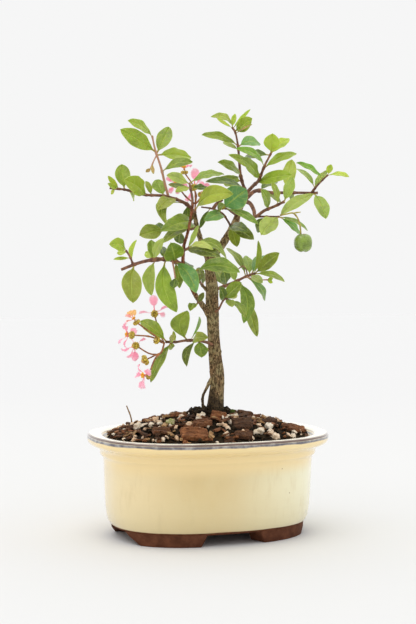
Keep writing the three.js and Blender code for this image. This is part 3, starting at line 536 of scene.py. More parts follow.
def modelFoot(endSign, middleSign):
    # A block bent along the oval, its ends slanting in towards the ground, with rounded edges
    foot = slicedBlock("potFoot", footShape["steps"], halved=True)
    objectMode()

    def bend(co):
        rise = co.z + 0.5
        ranges = zip(footShape["bottomRange"], footShape["topRange"])
        fromAngle, toAngle = (bottom + rise * (top - bottom) for bottom, top in ranges)
        angle = math.radians(fromAngle + (co.x + 0.5) * (toAngle - fromAngle))
        inset = footShape["inset"] - footShape["lean"] * rise + footShape["depth"] * (co.y + 0.5)
        x, y = ovalPoint(inset, angle)
        return Vector((x * endSign, y * middleSign, rise * footShape["height"]))

    moveVertices(foot, bend)
    faceOutwards(foot)
    applied(foot, "BEVEL", width=footShape["edge"], segments=5, limit_method="ANGLE",
            angle_limit=math.radians(40))
    return foot


# Where each part of the finish, and each band of painted light and shade, starts and ends by its height in
# millimetres, then its colours
potFinish = {
    "bare": (0, 9.1), "low": (40, 8), "shoulder": (42, 54), "sheen": (65.4, 66.9), "lipTop": (66.2, 67.2),
    "edge": (67.1, 68.0),
}
potColors = palette(
    creamShade=(223, 197, 138), cream=(226, 205, 150), litSide=(250, 246, 212), farSide=(244, 224, 176),
    pooled=(212, 188, 134), low=(216, 202, 158), shoulder=(254, 226, 164), pit=(150, 110, 60),
    lipTop=(250, 243, 222), slateDark=(96, 94, 104), slateLight=(168, 166, 164), edge=(84, 48, 40),
    bareDark=(84, 46, 28), bareLight=(112, 68, 46), footDark=(78, 44, 28), footLight=(108, 66, 46),
    grit=(60, 36, 28), screen=(28, 28, 30), screenDust=(58, 52, 46),
)


def potGlaze():
    # Cream glaze, thin and dark on the lip's edge, with a blue-grey metallic sheen just under it
    material, tree, shader, place = newMaterial("creamGlaze")
    height = maths(tree, "DIVIDE", partsOf(tree, place)[2], mm)
    faceUp = addNode(tree, "ShaderNodeNewGeometry").outputs["True Normal"]
    upward = partsOf(tree, faceUp)[2]
    cream = blend(tree, mottled(tree, place, scale=26, detail=4, low=0.3, high=0.75),
                  potColors["creamShade"], potColors["cream"])
    sideways = partsOf(tree, place)[0]
    # Painted light: the glaze pales towards both ends of the oval, the +x end most, standing for the bright
    # surroundings reflected on its sides
    cream = blend(tree, remap(tree, sideways, -0.03, 0.062), cream, potColors["litSide"])
    cream = tint(tree, remap(tree, sideways, -0.03, -0.075), 0.8, cream, potColors["farSide"])
    pooled = mottled(tree, stretched(tree, place, (1, 1, 0.25)), scale=160, detail=3, low=0.5, high=0.8)
    cream = tint(tree, pooled, 0.35, cream, potColors["pooled"])
    # Painted shade: the glaze grows darker and greyer towards the foot
    cream = tint(tree, remap(tree, height, *potFinish["low"]), 0.5, cream, potColors["low"])
    # Painted light: the glaze is lighter and warmer just under the lip, where more light falls from above
    cream = tint(tree, remap(tree, height, *potFinish["shoulder"]), 0.85, cream, potColors["shoulder"])
    pits = flecked(tree, place, scale=150, size=0.09, share=0.12)
    cream = tint(tree, pits, 0.6, cream, potColors["pit"])
    topFace = remap(tree, upward, 0.55, 0.85)
    topStrip = maths(tree, "MULTIPLY", topFace, remap(tree, height, *potFinish["lipTop"]))
    cream = blend(tree, topStrip, cream, potColors["lipTop"])
    sheenBand = banded(tree, height, place, *potFinish["sheen"], soft=0.8, waver=1.8, scale=60)
    sheenBand = maths(tree, "MULTIPLY", sheenBand, remap(tree, upward, 0.6, 0.3))
    slate = blend(tree, mottled(tree, place, scale=220, detail=3, low=0.35, high=0.7),
                  potColors["slateDark"], potColors["slateLight"])
    glaze = blend(tree, sheenBand, cream, slate)
    edgeLine = banded(tree, height, place, *potFinish["edge"], soft=0.3, waver=0.7, scale=90)
    edgeLine = maths(tree, "MULTIPLY", edgeLine, remap(tree, upward, 0.92, 0.75))
    glaze = blend(tree, edgeLine, glaze, potColors["edge"])
    bare = banded(tree, height, place, *potFinish["bare"], soft=0.5, waver=0.8, scale=40)
    clayColor = blend(tree, mottled(tree, place, scale=300, detail=5, low=0.3, high=0.7),
                      potColors["bareDark"], potColors["bareLight"])
    color = blend(tree, bare, glaze, clayColor)
    rough = remap(tree, bare, 0, 1, 0.16, 0.8)
    normal = bump(tree, noiseAt(tree, stretched(tree, place, (1, 1, 4)), 45, 2), 0.0006, 0.35)
    setShader(tree, shader, color=color, roughness=rough, normal=normal, coatRoughness=0.08,
              coat=remap(tree, bare, 0, 1, 0.8, 0), specular=remap(tree, bare, 0, 1, 0.5, 0.12),
              metallic=maths(tree, "MULTIPLY", sheenBand, 0.4))
    return material


def bareClay():
    material, tree, shader, place = newMaterial("bareClay")
    color = blend(tree, mottled(tree, place, scale=180, detail=5, low=0.3, high=0.72),
                  potColors["footDark"], potColors["footLight"])
    grit = flecked(tree, place, scale=900, size=0.3, share=0.25)
    color = tint(tree, grit, 0.5, color, potColors["grit"])
    sand = noiseAt(tree, place, 1400, 3)
    setShader(tree, shader, color=color, roughness=remap(tree, grit, 0, 1, 0.72, 0.9), specular=0.12,
              normal=bump(tree, sand, 0.0003, 0.6))
    return material


def makePot():
    glaze, clay = potGlaze(), bareClay()
    body = modelPotBody()
    feet = [modelFoot(endSign, middleSign) for endSign in (-1, 1) for middleSign in (-1, 1)]
    seatPiece(body, potToFrame, 50, "pot_glaze", "pot", looks=[glaze])
    seatPiece(joinPieces(feet, "potFeet"), potToFrame, 35, "pot_glaze", "pot", looks=[clay])
    print("pot: glazed body and four feet")


def screenPlastic():
    material, tree, shader, place = newMaterial("screenPlastic")
    dust = mottled(tree, place, scale=400, detail=3, low=0.45, high=0.7)
    color = blend(tree, dust, potColors["screen"], potColors["screenDust"])
    setShader(tree, shader, color=color, roughness=remap(tree, dust, 0, 1, 0.45, 0.8))
    return material


def dressScreens():
    plastic = screenPlastic()
    for node in ("drain_screen_left", "drain_screen_right"):
        dress(frame["nodes"][node], [plastic])
    print("drain screens: dressed")


makePot()
dressScreens()


# Soil: a mound inside the pot, crumbly on top, with bark crumbs, small chips and grit strewn over it
soilShape = {
    "edgeHeight": 64.5, "rise": 14, "reachX": 69, "reachY": 49.5, "turns": 144,
    "outline": [(30, 13.35), (27.4, 13.35), (18.85, 20.4), (17.35, 48), (15.45, 56.5), (13.2, 61.2),
                (12.4, 63)],
    "rings": [0.99, 0.97, 0.94, 0.9, 0.86, 0.81, 0.76, 0.7, 0.64, 0.58, 0.52, 0.46, 0.4, 0.34, 0.28],
    "crumble": 0.9, "lumps": 1.6,
}
strewn = {
    "chips": 350, "crumbs": 760, "grit": 165, "footClods": 90, "seed": 31,
    "chipLength": (3, 9.5), "chipWidth": (1.6, 4.6), "chipThickness": (0.6, 1.5),
    "crumbSize": (1.0, 3.8), "gritSize": (1.4, 4.6), "clodSize": (2.2, 5),
}
soilColors = palette(
    earthDark=(20, 16, 11), earthLight=(60, 48, 31), fibre=(112, 82, 58), russetDark=(112, 62, 34),
    russetLight=(190, 126, 80), brownDark=(50, 32, 22), brownLight=(116, 80, 56), paleDark=(170, 122, 76),
    paleLight=(222, 184, 132), plate=(58, 38, 26), worn=(204, 156, 108), stoneWarm=(226, 180, 134),
    pumiceDark=(208, 190, 162), pumiceLight=(250, 240, 222), pumicePit=(128, 104, 78),
    mossyStone=(190, 178, 140), mossyGreen=(128, 140, 52),
)


def moundHeight(x, y):
    farX = abs(x / soilShape["reachX"]) ** potShape["ovalPower"]
    farY = abs(y / soilShape["reachY"]) ** potShape["ovalPower"]
    far = min((farX + farY) ** (1 / potShape["ovalPower"]), 1)
    return soilShape["edgeHeight"] + soilShape["rise"] * (1 - far ** 2.2)


def soilEarth():
    material, tree, shader, place = newMaterial("darkEarth")
    lumps = mottled(tree, place, scale=220, detail=5, low=0.35, high=0.72)
    color = blend(tree, lumps, soilColors["earthDark"], soilColors["earthLight"])
    fibres = mottled(tree, place, scale=900, detail=4, low=0.55, high=0.72)
    color = tint(tree, fibres, 0.6, color, soilColors["fibre"])
    fine = noiseAt(tree, place, 1100, 5)
    setShader(tree, shader, color=color, roughness=remap(tree, lumps, 0, 1, 0.85, 0.98), specular=0.15,
              normal=bump(tree, fine, 0.0006, 0.8))
    return material


def barkFlakeLook():
    # Pine bark: plates of red-brown and purple-brown with pale broken fibres
    material, tree, shader, place = newMaterial("pineBark")
    along = ownMap(tree, "grainMap")
    tone = ownValue(tree, "tone")
    fibres = grained(tree, along, scale=1.1, stretch=5, low=0.32, high=0.7)
    plates = mottled(tree, place, scale=160, detail=3, low=0.4, high=0.6)
    russet = blend(tree, fibres, soilColors["russetDark"], soilColors["russetLight"])
    dark = blend(tree, fibres, soilColors["brownDark"], soilColors["brownLight"])
    color = blend(tree, remap(tree, tone, 0.15, 0.75), dark, russet)
    pale = blend(tree, fibres, soilColors["paleDark"], soilColors["paleLight"])
    color = blend(tree, remap(tree, tone, 0.8, 0.84), color, pale)
    color = tint(tree, plates, 0.4, color, soilColors["plate"])
    worn = grained(tree, along, scale=2.6, stretch=8, low=0.56, high=0.72)
    color = tint(tree, worn, 0.6, color, soilColors["worn"])
    fine = grained(tree, along, scale=4, stretch=6, low=0.2, high=0.8)
    normal = bump(tree, fine, 0.0004, 0.8)
    normal = bump(tree, fibres, 0.0006, 0.5, normal)
    setShader(tree, shader, color=color, roughness=remap(tree, fibres, 0, 1, 0.62, 0.85), specular=0.25,
              normal=normal)
    return material


def stoneLook(name, low, high, pit):
    material, tree, shader, place = newMaterial(name)
    tone = ownValue(tree, "tone")
    cloud = mottled(tree, place, scale=420, detail=4, low=0.3, high=0.7)
    color = blend(tree, cloud, low, high)
    color = tint(tree, tone, 0.8, color, soilColors["stoneWarm"])
    pits = flecked(tree, place, scale=1500, size=0.4, share=0.4)
    color = tint(tree, pits, 0.45, color, pit)
    grainy = noiseAt(tree, place, 1600, 3)
    normal = bump(tree, maths(tree, "SUBTRACT", grainy, maths(tree, "MULTIPLY", pits, 0.8)), 0.0004, 0.7)
    setShader(tree, shader, color=color, roughness=remap(tree, cloud, 0, 1, 0.75, 0.92), normal=normal)
    return material


def mossyStoneLook():
    material, tree, shader, place = newMaterial("mossyStone")
    green = mottled(tree, place, scale=500, detail=4, low=0.36, high=0.6)
    color = blend(tree, green, soilColors["mossyStone"], soilColors["mossyGreen"])
    tufts = noiseAt(tree, place, 1800, 4)
    setShader(tree, shader, color=color, roughness=remap(tree, green, 0, 1, 0.8, 0.95),
              normal=bump(tree, tufts, 0.0006, 0.8))
    return material


def modelMound():
    outline = list(soilShape["outline"])
    for share in soilShape["rings"]:
        x = share * soilShape["reachX"]
        outline.append((potShape["halfLength"] - x, moundHeight(x, 0)))
    # Only the insets up to the oval's limit keep their distance, so the inner rings are moved by hand
    mound = ovalShell("soilMound", outline, soilShape["turns"], True, True)
    editMode(mound)
    selectVertices(mound, lambda co: co.z > soilShape["edgeHeight"] - 1)
    bpy.ops.mesh.subdivide(number_cuts=1)
    objectMode()

    def settle(co):
        if co.z < soilShape["edgeHeight"] - 1.2:
            return co
        height = moundHeight(co.x, co.y)
        lumps = soilShape["lumps"] * wander(co, 0.11, 2) + 0.8 * wander(co, 0.3, 3)
        crumbs = soilShape["crumble"] * (wander(co, 0.75, 4) + 0.5 * wander(co, 1.7, 5))
        edge = min(1, max(0, (height - soilShape["edgeHeight"] + 0.8) / 3))
        return Vector((co.x, co.y, height + edge * (lumps + crumbs)))

    moveVertices(mound, settle)
    return mound


def modelFlakePattern(name, seed, cuts):
    # A flat broken flake: a block cut into strips, its ends pulled to splinters and its top stepped
    flake = slicedBlock(name, cuts)
    bpy.ops.mesh.bisect(plane_co=(0, 0.13, 0), plane_no=(0, 1, 0))
    objectMode()
    draw = random.Random(seed)
    ends = {row: (draw.uniform(0.78, 1.1), draw.uniform(0.78, 1.1)) for row in (-1, 0, 1)}
    sides = [draw.uniform(0.7, 1.08) for _ in range(2 * cuts + 2)]

    def tear(co):
        row = 0 if abs(co.y - 0.13) < 0.01 else int(math.copysign(1, co.y))
        column = round((co.x + 0.5) * cuts)
        lengthwise = ends[row][0 if co.x < 0 else 1]
        crosswise = sides[column if co.y < 0 else column + cuts + 1]
        step = 0.25 * (sides[(column * 5 + row) % len(sides)] - 0.9) if co.z > 0 else 0
        taper = 1 - 0.3 * (2 * abs(co.x)) ** 3
        thin = 0.9 if abs(co.x) > 0.4 else 1
        return Vector((co.x * lengthwise, co.y * crosswise * taper, co.z * thin + step))

    moveVertices(flake, tear)
    return flake


def grainMap(piece, turn, shift):
    # A map along and across the fibres, in millimetres, so that grain follows each piece as it lies
    frameTurn = turned("Z", -turn)
    layers = piece.data.uv_layers
    layer = layers["grainMap"] if "grainMap" in layers else layers.new(name="grainMap")
    for loop in piece.data.loops:
        local = frameTurn @ piece.data.vertices[loop.vertex_index].co
        layer.data[loop.index].uv = (local.x + shift, local.y + 0.7 * local.z + 3 * shift)


def lieOf(turn, tiltX, tiltY):
    return turned("Z", turn) @ turned("Y", tiltY) @ turned("X", tiltX)


def strewPiece(pattern, name, draw, count, sizes, options):
    # Copies of a pattern laid over the mound, turned and tilted by chance, then joined
    copies = []
    tries = 0
    while len(copies) < count and tries < 20 * count:
        tries += 1
        angle = draw.uniform(0, 2 * math.pi)
        reach = math.sqrt(draw.random()) * options["reach"]
        edgeX, edgeY = ovalPoint(14.2, angle)
        middle, spread = options.get("middle", (0, 0)), options.get("spread", 1)
        x, y = middle[0] + edgeX * reach * spread, middle[1] + edgeY * reach * spread
        length, width, thickness = (draw.uniform(*size) for size in sizes)
        turn = draw.uniform(0, 360)
        tiltX, tiltY = draw.gauss(0, options["tilt"]), draw.gauss(0, options["tilt"])
        lift = draw.uniform(*options["lift"])
        tone = draw.random()
        if any(math.hypot((x - cx) / rx, (y - cy) / ry) < 1 for cx, cy, rx, ry in options["clear"]):
            continue
        copy = copyOf(pattern[len(copies) % len(pattern)], f"{name}{len(copies)}")
        low = 0.55 * math.sin(math.radians(min(abs(tiltX), 40))) * width
        place = Matrix.Translation((x, y, moundHeight(x, y) + lift + 0.3 * low))
        size = Matrix.Diagonal((length, width, thickness, 1))
        copy.data.transform(place @ lieOf(turn, tiltX, tiltY).to_4x4() @ size)
        if options["grain"]:
            grainMap(copy, turn, draw.uniform(0, 40))
        setAttribute(copy, "tone", tone)
        copies.append(copy)
    for item in pattern:
        removePiece(item)
    return joinPieces(copies, name)


def crumbPatterns(name, count, subdivisions, roughness):
    patterns = []
    for i in range(count):
        bpy.ops.mesh.primitive_ico_sphere_add(subdivisions=subdivisions, radius=0.5, location=(0, 0, 0))
        crumb = named(f"{name}{i}")
        moveVertices(crumb, lambda co: co * (1 + roughness * wander(co, 2.3, i + 1)))
        patterns.append(crumb)
    return patterns


# Larger pieces on the mound: where, how they lie and how large, as the frame's nodes are
barkChips = [
    (-25, -37, -12, 28, 4, 22, 13, 3.2, 2.2), (-14, -25, 8, 12, -3, 15, 8, 3, 2.2),
    (2, -13, -20, 18, 6, 12, 9, 3, 2.6), (12, -29, -15, 26, -4, 16, 12, 3.4, 2.4),
    (7, -42, -28, 18, 2, 13, 8, 3, 2), (49, -24, -20, 12, 10, 14, 8, 3, 2.2),
    (59, -14, -10, 10, 14, 12, 7, 3, 2), (36, -18, 35, 14, -6, 13, 7, 3, 2.2),
    (26, -2, -15, 8, 8, 12, 7, 3, 2.4), (-21, 0, 24, -8, 8, 14, 6, 2.6, 2.4),
    (-42, -24, -6, 16, 4, 13, 8, 3, 2), (-10, 26, 10, -14, 6, 14, 9, 3, 2.2),
    (30, 24, -30, -12, -4, 13, 9, 3, 2.2),
]
chipTones = [0.8, 0.45, 0.7, 0.1, 0.3, 0.5, 0.8, 0.2, 0.3, 0.6, 0.4, 0.35, 0.6]
pebblePlaces = [(-50, -1, 7.7), (-36, 5, 4.8), (-43, -7, 5.8), (-33, -15, 7.2), (-9, -11, 5.4), (21, -37, 7),
                (31, -29, 8), (30, -41, 8.6), (-28, 30, 7), (46, 14, 7.4)]
pebbleTones = [0.05, 0.9, 0.2, 0, 0.05, 0.1, 0, 0.35, 0.2, 0.1]
chipWork = {"voxel": 0.42, "terrace": 0.55, "ragged": 0.7, "ribs": 0.28}
pebbleWork = {"voxel": 0.35, "rounding": 4, "lumps": 0.75}


def frameCopy(node, name):
    # A copy of a frame node with its loose triangles merged, in pot millimetres
    piece = copyOf(frame["nodes"][node], name)
    backToPot = potToFrame.inverted()
    moveVertices(piece, lambda co: backToPot @ co)
    editMode(piece, "SELECT")
    bpy.ops.mesh.remove_doubles(threshold=0.02)
    objectMode()
    return piece


def makeBarkChip(i, look):
    x, y, turn, tiltX, tiltY, length, width, thickness, rise = barkChips[i]
    node = f"bark_chip_{i + 1}"
    chip = frameCopy(node, f"barkChip{i + 1}")
    applied(chip, "REMESH", mode="VOXEL", voxel_size=chipWork["voxel"])
    flat = lieOf(turn, tiltX, tiltY).inverted()
    middle = Vector((x, y, moundHeight(x, y) + rise))

    def split(co, normal):
        local = flat @ (co - middle)
        facing = flat @ normal
        sheets = math.floor(2.2 * wander((local.x * 0.5, local.y * 1.6, 0), 0.22, i) + 0.5 + 0.12 * local.y)
        ribs = wander((local.x * 0.18, local.y * 1.3, local.z), 1.1, i + 20)
        rim = wander((local.x, local.y, local.z * 0.4), 0.55, i + 40) + 0.4 * wander(local, 1.6, i + 60)
        lift = chipWork["terrace"] * sheets * max(facing.z, 0) - 0.25 * max(facing.z, 0)
        side = 1 - abs(facing.z)
        return lift + chipWork["ribs"] * ribs * abs(facing.z) + chipWork["ragged"] * rim * side

    displaced(chip, split)
    grainMap(chip, turn, 9.0 * i)
    setAttribute(chip, "tone", chipTones[i])
    seatPiece(chip, potToFrame, 42, "bark_flake", node, looks=[look])


def makePebble(i, look, slotName):
    node = f"pebble_{i + 1}"
    pebble = frameCopy(node, f"pebble{i + 1}")
    applied(pebble, "REMESH", mode="VOXEL", voxel_size=pebbleWork["voxel"])
    applied(pebble, "SMOOTH", factor=0.6, iterations=pebbleWork["rounding"])
    lumps = pebbleWork["lumps"]
    displaced(pebble, lambda co, normal: lumps * (wander(co, 0.42, i) + 0.6 * wander(co, 1.1, i)))
    setAttribute(pebble, "tone", pebbleTones[i])
    seatPiece(pebble, potToFrame, None, slotName, node, looks=[look])


def makeSoil():
    bark = barkFlakeLook()
    pumice = stoneLook("pumice", soilColors["pumiceDark"], soilColors["pumiceLight"], soilColors["pumicePit"])
    seatPiece(modelMound(), potToFrame, 60, "potting_soil", "soil", looks=[soilEarth()])
    print("soil: mound")
    clear = [(x, y, 0.42 * length, 0.42 * width) for x, y, *_, length, width, _, _ in barkChips]
    stones = [(x, y, 0.45 * size, 0.45 * size) for x, y, size in pebblePlaces]
    trunkFoot = [(trunkSpot.x, trunkSpot.y, 8, 8)]
    draw = random.Random(strewn["seed"])
    options = {"clear": clear + stones + trunkFoot, "tilt": 15, "lift": (0.5, 2.2), "grain": True,
               "reach": 0.99}
    patterns = [modelFlakePattern(f"smallFlake{i}", 60 + i, 3) for i in range(6)]
    sizes = (strewn["chipLength"], strewn["chipWidth"], strewn["chipThickness"])
    chips = strewPiece(patterns, "strewnChips", draw, strewn["chips"], sizes, options)
    options.update(tilt=40, lift=(0, 1.2), grain=False, reach=1.0)
    crumbs = strewPiece(crumbPatterns("crumb", 5, 1, 0.5), "darkCrumbs", draw, strewn["crumbs"],
                        [strewn["crumbSize"]] * 3, options)
    options.update(clear=clear + trunkFoot, lift=(0.4, 1.8))
    grit = strewPiece(crumbPatterns("gritGrain", 5, 2, 0.75), "pumiceGrit", draw, strewn["grit"],
                      [strewn["gritSize"]] * 3, options)
    # Dark clods heaped against the trunk's foot
    options.update(clear=[(trunkSpot.x, trunkSpot.y, 5, 5)], lift=(1.5, 4.2), spread=0.24,
                   middle=(trunkSpot.x - 2, trunkSpot.y))
    clods = strewPiece(crumbPatterns("clod", 5, 2, 0.8), "footClods", draw, strewn["footClods"],
                       [strewn["clodSize"]] * 3, options)
    crumbs = joinPieces([crumbs, clods], "darkCrumbs")
    for piece, look, slotName in ((chips, bark, "bark_flake"), (crumbs, soilEarth(), "potting_soil"),
                                  (grit, pumice, "pumice")):
        seatPiece(piece, potToFrame, 30, slotName, looks=[look])
    print("soil: strewn chips, crumbs and grit")
    for i in range(len(barkChips)):
        makeBarkChip(i, bark)
    print("soil: large bark chips")
    mossy = mossyStoneLook()
    for i in range(len(pebblePlaces)):
        isMossy = i == 3
        makePebble(i, mossy if isMossy else pumice, "mossy_stone" if isMossy else "pumice")
    print("soil: pebbles")


trunkSpot = treeTurn @ placed((3.5, 65, 2))
makeSoil()


# Trunk: woody stems grown together, fluted, with pale pores and a dark crust at the foot
wood = [
    {"path": [(3.5, 65, 2), (4, 76, 2), (4.5, 84, 2), (5, 92.5, 2), (5.5, 102.5, 2), (4, 117.5, 1),
              (2.5, 135, 0),
              (2, 148, 0), (1.5, 157, 0), (1.5, 164, 0), (0, 176, 0), (-1, 187, 0)],
     "radii": [8.2, 7.2, 6, 5.1, 4.9, 4.2, 3.9, 4, 4.3, 4.2, 3.3, 2.6]},
    {"path": [(-0.5, 180, 0), (2, 185.5, 1), (6.5, 191, 2), (13, 201, 3), (17, 209, 4), (20, 218, 5),
              (24, 226, 6)],
     "radii": [3, 2.9, 2.5, 1.8]},
    {"path": [(-0.5, 182, 0), (-5.5, 194, -1), (-8.5, 204, -3), (-11, 216, -5)], "radii": [2.3, 2, 1.5]},
    {"path": [(2, 141.5, 0), (-2, 149, -2), (-10, 160.5, -10), (-18, 180.5, -22)], "radii": [2, 1.8, 1.5]},
    {"path": [(-18, 180, -22), (-17.5, 191.5, -24), (-14.5, 202.5, -25), (-11.5, 220.5, -26)],
     "radii": [1.4, 1.2, 1.1]},
    {"path": [(2, 104, 1), (-1.5, 97, -2), (-4, 91.5, -3), (-4, 86.5, -3), (-3, 77, -1)],
     "radii": [1.5, 1.2, 1.2, 1.7]},
    {"path": [(1, 160, 0), (-2.5, 163, -1), (-7.5, 168.5, 2)], "radii": [1.1, 0.8]},
]
trunkShape = {
    "voxel": 0.38, "melt": 3, "flutes": 0.62, "furrows": 0.28, "knobs": 0.5, "footHeight": 92,
    "stemSides": 6, "pointSpacing": 1.2,
}


def stemPiece(name, path, radii, sides=6, spacing=1.2, swellings=(), swell=0.0):
    # A stem drawn as a curve with a round section, then made a mesh
    points = curvePoints(path)
    length = sum((b - a).length for a, b in zip(points, points[1:]))
    count = max(4, round(length / spacing))
    shares = [i / count for i in range(count + 1)]
    data = bpy.data.curves.new(name, "CURVE")
    data.dimensions = "3D"
    data.bevel_depth = 1
    data.bevel_resolution = sides // 2
    data.use_fill_caps = True
    spline = data.splines.new("POLY")
    spline.points.add(count)
    for knot, share, place in zip(spline.points, shares, evenPoints(points, shares)):
        knot.co = (*place, 1)
        bulge = sum(math.exp(-((share - at) * length / 0.9) ** 2) for at in swellings)
        knot.radius = readList(radii, share) * (1 + swell * min(bulge, 1))
    stem = bpy.data.objects.new(name, data)
    bpy.context.scene.collection.objects.link(stem)
    makeActive(stem)
    bpy.ops.object.convert(target="MESH")
    return bpy.context.active_object


frontWay = treeTurn.to_3x3() @ Vector((0, -1, 0))
rightWay = treeTurn.to_3x3() @ Vector((1, 0, 0))


trunkColors = palette(
    furrow=(72, 54, 36), ridge=(148, 118, 82), greyFurrow=(92, 78, 52), greyRidge=(176, 160, 116),
    pore=(206, 172, 128), warm=(186, 134, 84), russetFurrow=(92, 52, 36), russetRidge=(158, 98, 66),
    russetPore=(204, 164, 128), crustDark=(30, 23, 18), crustLight=(78, 62, 40),
)


def barkLook():
    # Grey-brown bark: fine furrows up the stem, pale pores across it, a dark crust near the soil. The
    # thin stem in front of the others is reddish brown.
    material, tree, shader, place = newMaterial("trunkBark")
    height = maths(tree, "DIVIDE", partsOf(tree, place)[2], mm)
    upright = stretched(tree, place, (1, 1, 0.45))
    furrows = mottled(tree, upright, scale=900, detail=4, low=0.38, high=0.62)
    patches = mottled(tree, place, scale=110, detail=3, low=0.36, high=0.66)
    color = blend(tree, furrows, trunkColors["furrow"], trunkColors["ridge"])
    greyer = blend(tree, furrows, trunkColors["greyFurrow"], trunkColors["greyRidge"])
    color = blend(tree, patches, color, greyer)
    pores = flecked(tree, stretched(tree, place, (1, 1, 1.7)), scale=620, size=0.36, share=0.42)
    color = tint(tree, pores, 0.85, color, trunkColors["pore"])
    warm = flecked(tree, stretched(tree, place, (1, 1, 1.4), (0.3, 0.1, 0)), scale=230, size=0.3, share=0.16)
    color = tint(tree, warm, 0.6, color, trunkColors["warm"])
    nearer = reachAlong(tree, place, frontWay)
    russet = blend(tree, furrows, trunkColors["russetFurrow"], trunkColors["russetRidge"])
    russet = tint(tree, pores, 0.6, russet, trunkColors["russetPore"])
    thinStem = maths(tree, "MULTIPLY", remap(tree, nearer, 0.012, 0.018), remap(tree, height, 150, 158))
    color = blend(tree, thinStem, color, russet)
    sway = noiseAt(tree, place, 170, 4)
    aside = reachAlong(tree, place, rightWay)
    reach = remap(tree, aside, 0.007, -0.002, 0.0, 9.0)
    level = maths(tree, "SUBTRACT", maths(tree, "MULTIPLY_ADD", sway, 16.0, height), reach)
    foot = remap(tree, level, 98.0, 90.0)
    crumbs = mottled(tree, place, scale=800, detail=4, low=0.4, high=0.6)
    crust = blend(tree, crumbs, trunkColors["crustDark"], trunkColors["crustLight"])
    color = tint(tree, foot, 0.86, color, crust)
    raised = maths(tree, "MULTIPLY_ADD", pores, 0.5, furrows)
    fine = noiseAt(tree, upright, 2200, 3)
    normal = bump(tree, fine, 0.0003, 0.6, bump(tree, raised, 0.0005, 0.7))
    setShader(tree, shader, color=color, roughness=remap(tree, furrows, 0, 1, 0.88, 0.7), specular=0.25,
              normal=normal)
    return material


def makeTrunk():
    stems = []
    for i, stem in enumerate(wood):
        sides, spacing = trunkShape["stemSides"] * (2 if i == 0 else 1), trunkShape["pointSpacing"]
        stems.append(stemPiece(f"stem{i}", stem["path"], stem["radii"], sides, spacing))
    trunk = joinPieces(stems, "trunkWood")
    applied(trunk, "REMESH", mode="VOXEL", voxel_size=trunkShape["voxel"])
    applied(trunk, "SMOOTH", factor=0.5, iterations=trunkShape["melt"])
    mainLine = curvePoints(wood[0]["path"], 10)

    def furrow(co, normal):
        nearest = min(mainLine, key=lambda point: abs(point.z - co.z))
        away = Vector((co.x - nearest.x, co.y - nearest.y, 0))
        onTrunk = away.length < 11 and co.z < 190
        angle = math.atan2(away.y, away.x)
        twist = angle + 0.004 * (co.z - 65)
        foot = min(1, max(0, (trunkShape["footHeight"] - co.z) / 22))
        if onTrunk and away.length > 2.2:
            around = Vector((math.cos(twist), math.sin(twist), 0))
            ridges = noise.noise(around * 2.4 + Vector((0, 0, co.z * 0.018)))
            fine = noise.noise(around * 7 + Vector((3, 5, co.z * 0.05)))
            shift = trunkShape["flutes"] * (1 + 1.6 * foot) * ridges + trunkShape["furrows"] * fine
        else:
            shift = 0.18 * wander(co, 0.8, 3)
        knob = max(0, wander(co, 0.28, 9) - 0.32) * 2.2
        rough = 0.12 * wander((co.x, co.y, co.z * 0.5), 2.2, 5)
        return min(shift + trunkShape["knobs"] * knob + rough - 0.18, 0.9 + foot)

    displaced(trunk, furrow)
    seatPiece(trunk, toFrame, None, "trunk_bark", "trunk", looks=[barkLook()])
    print("tree: trunk and branches")


makeTrunk()


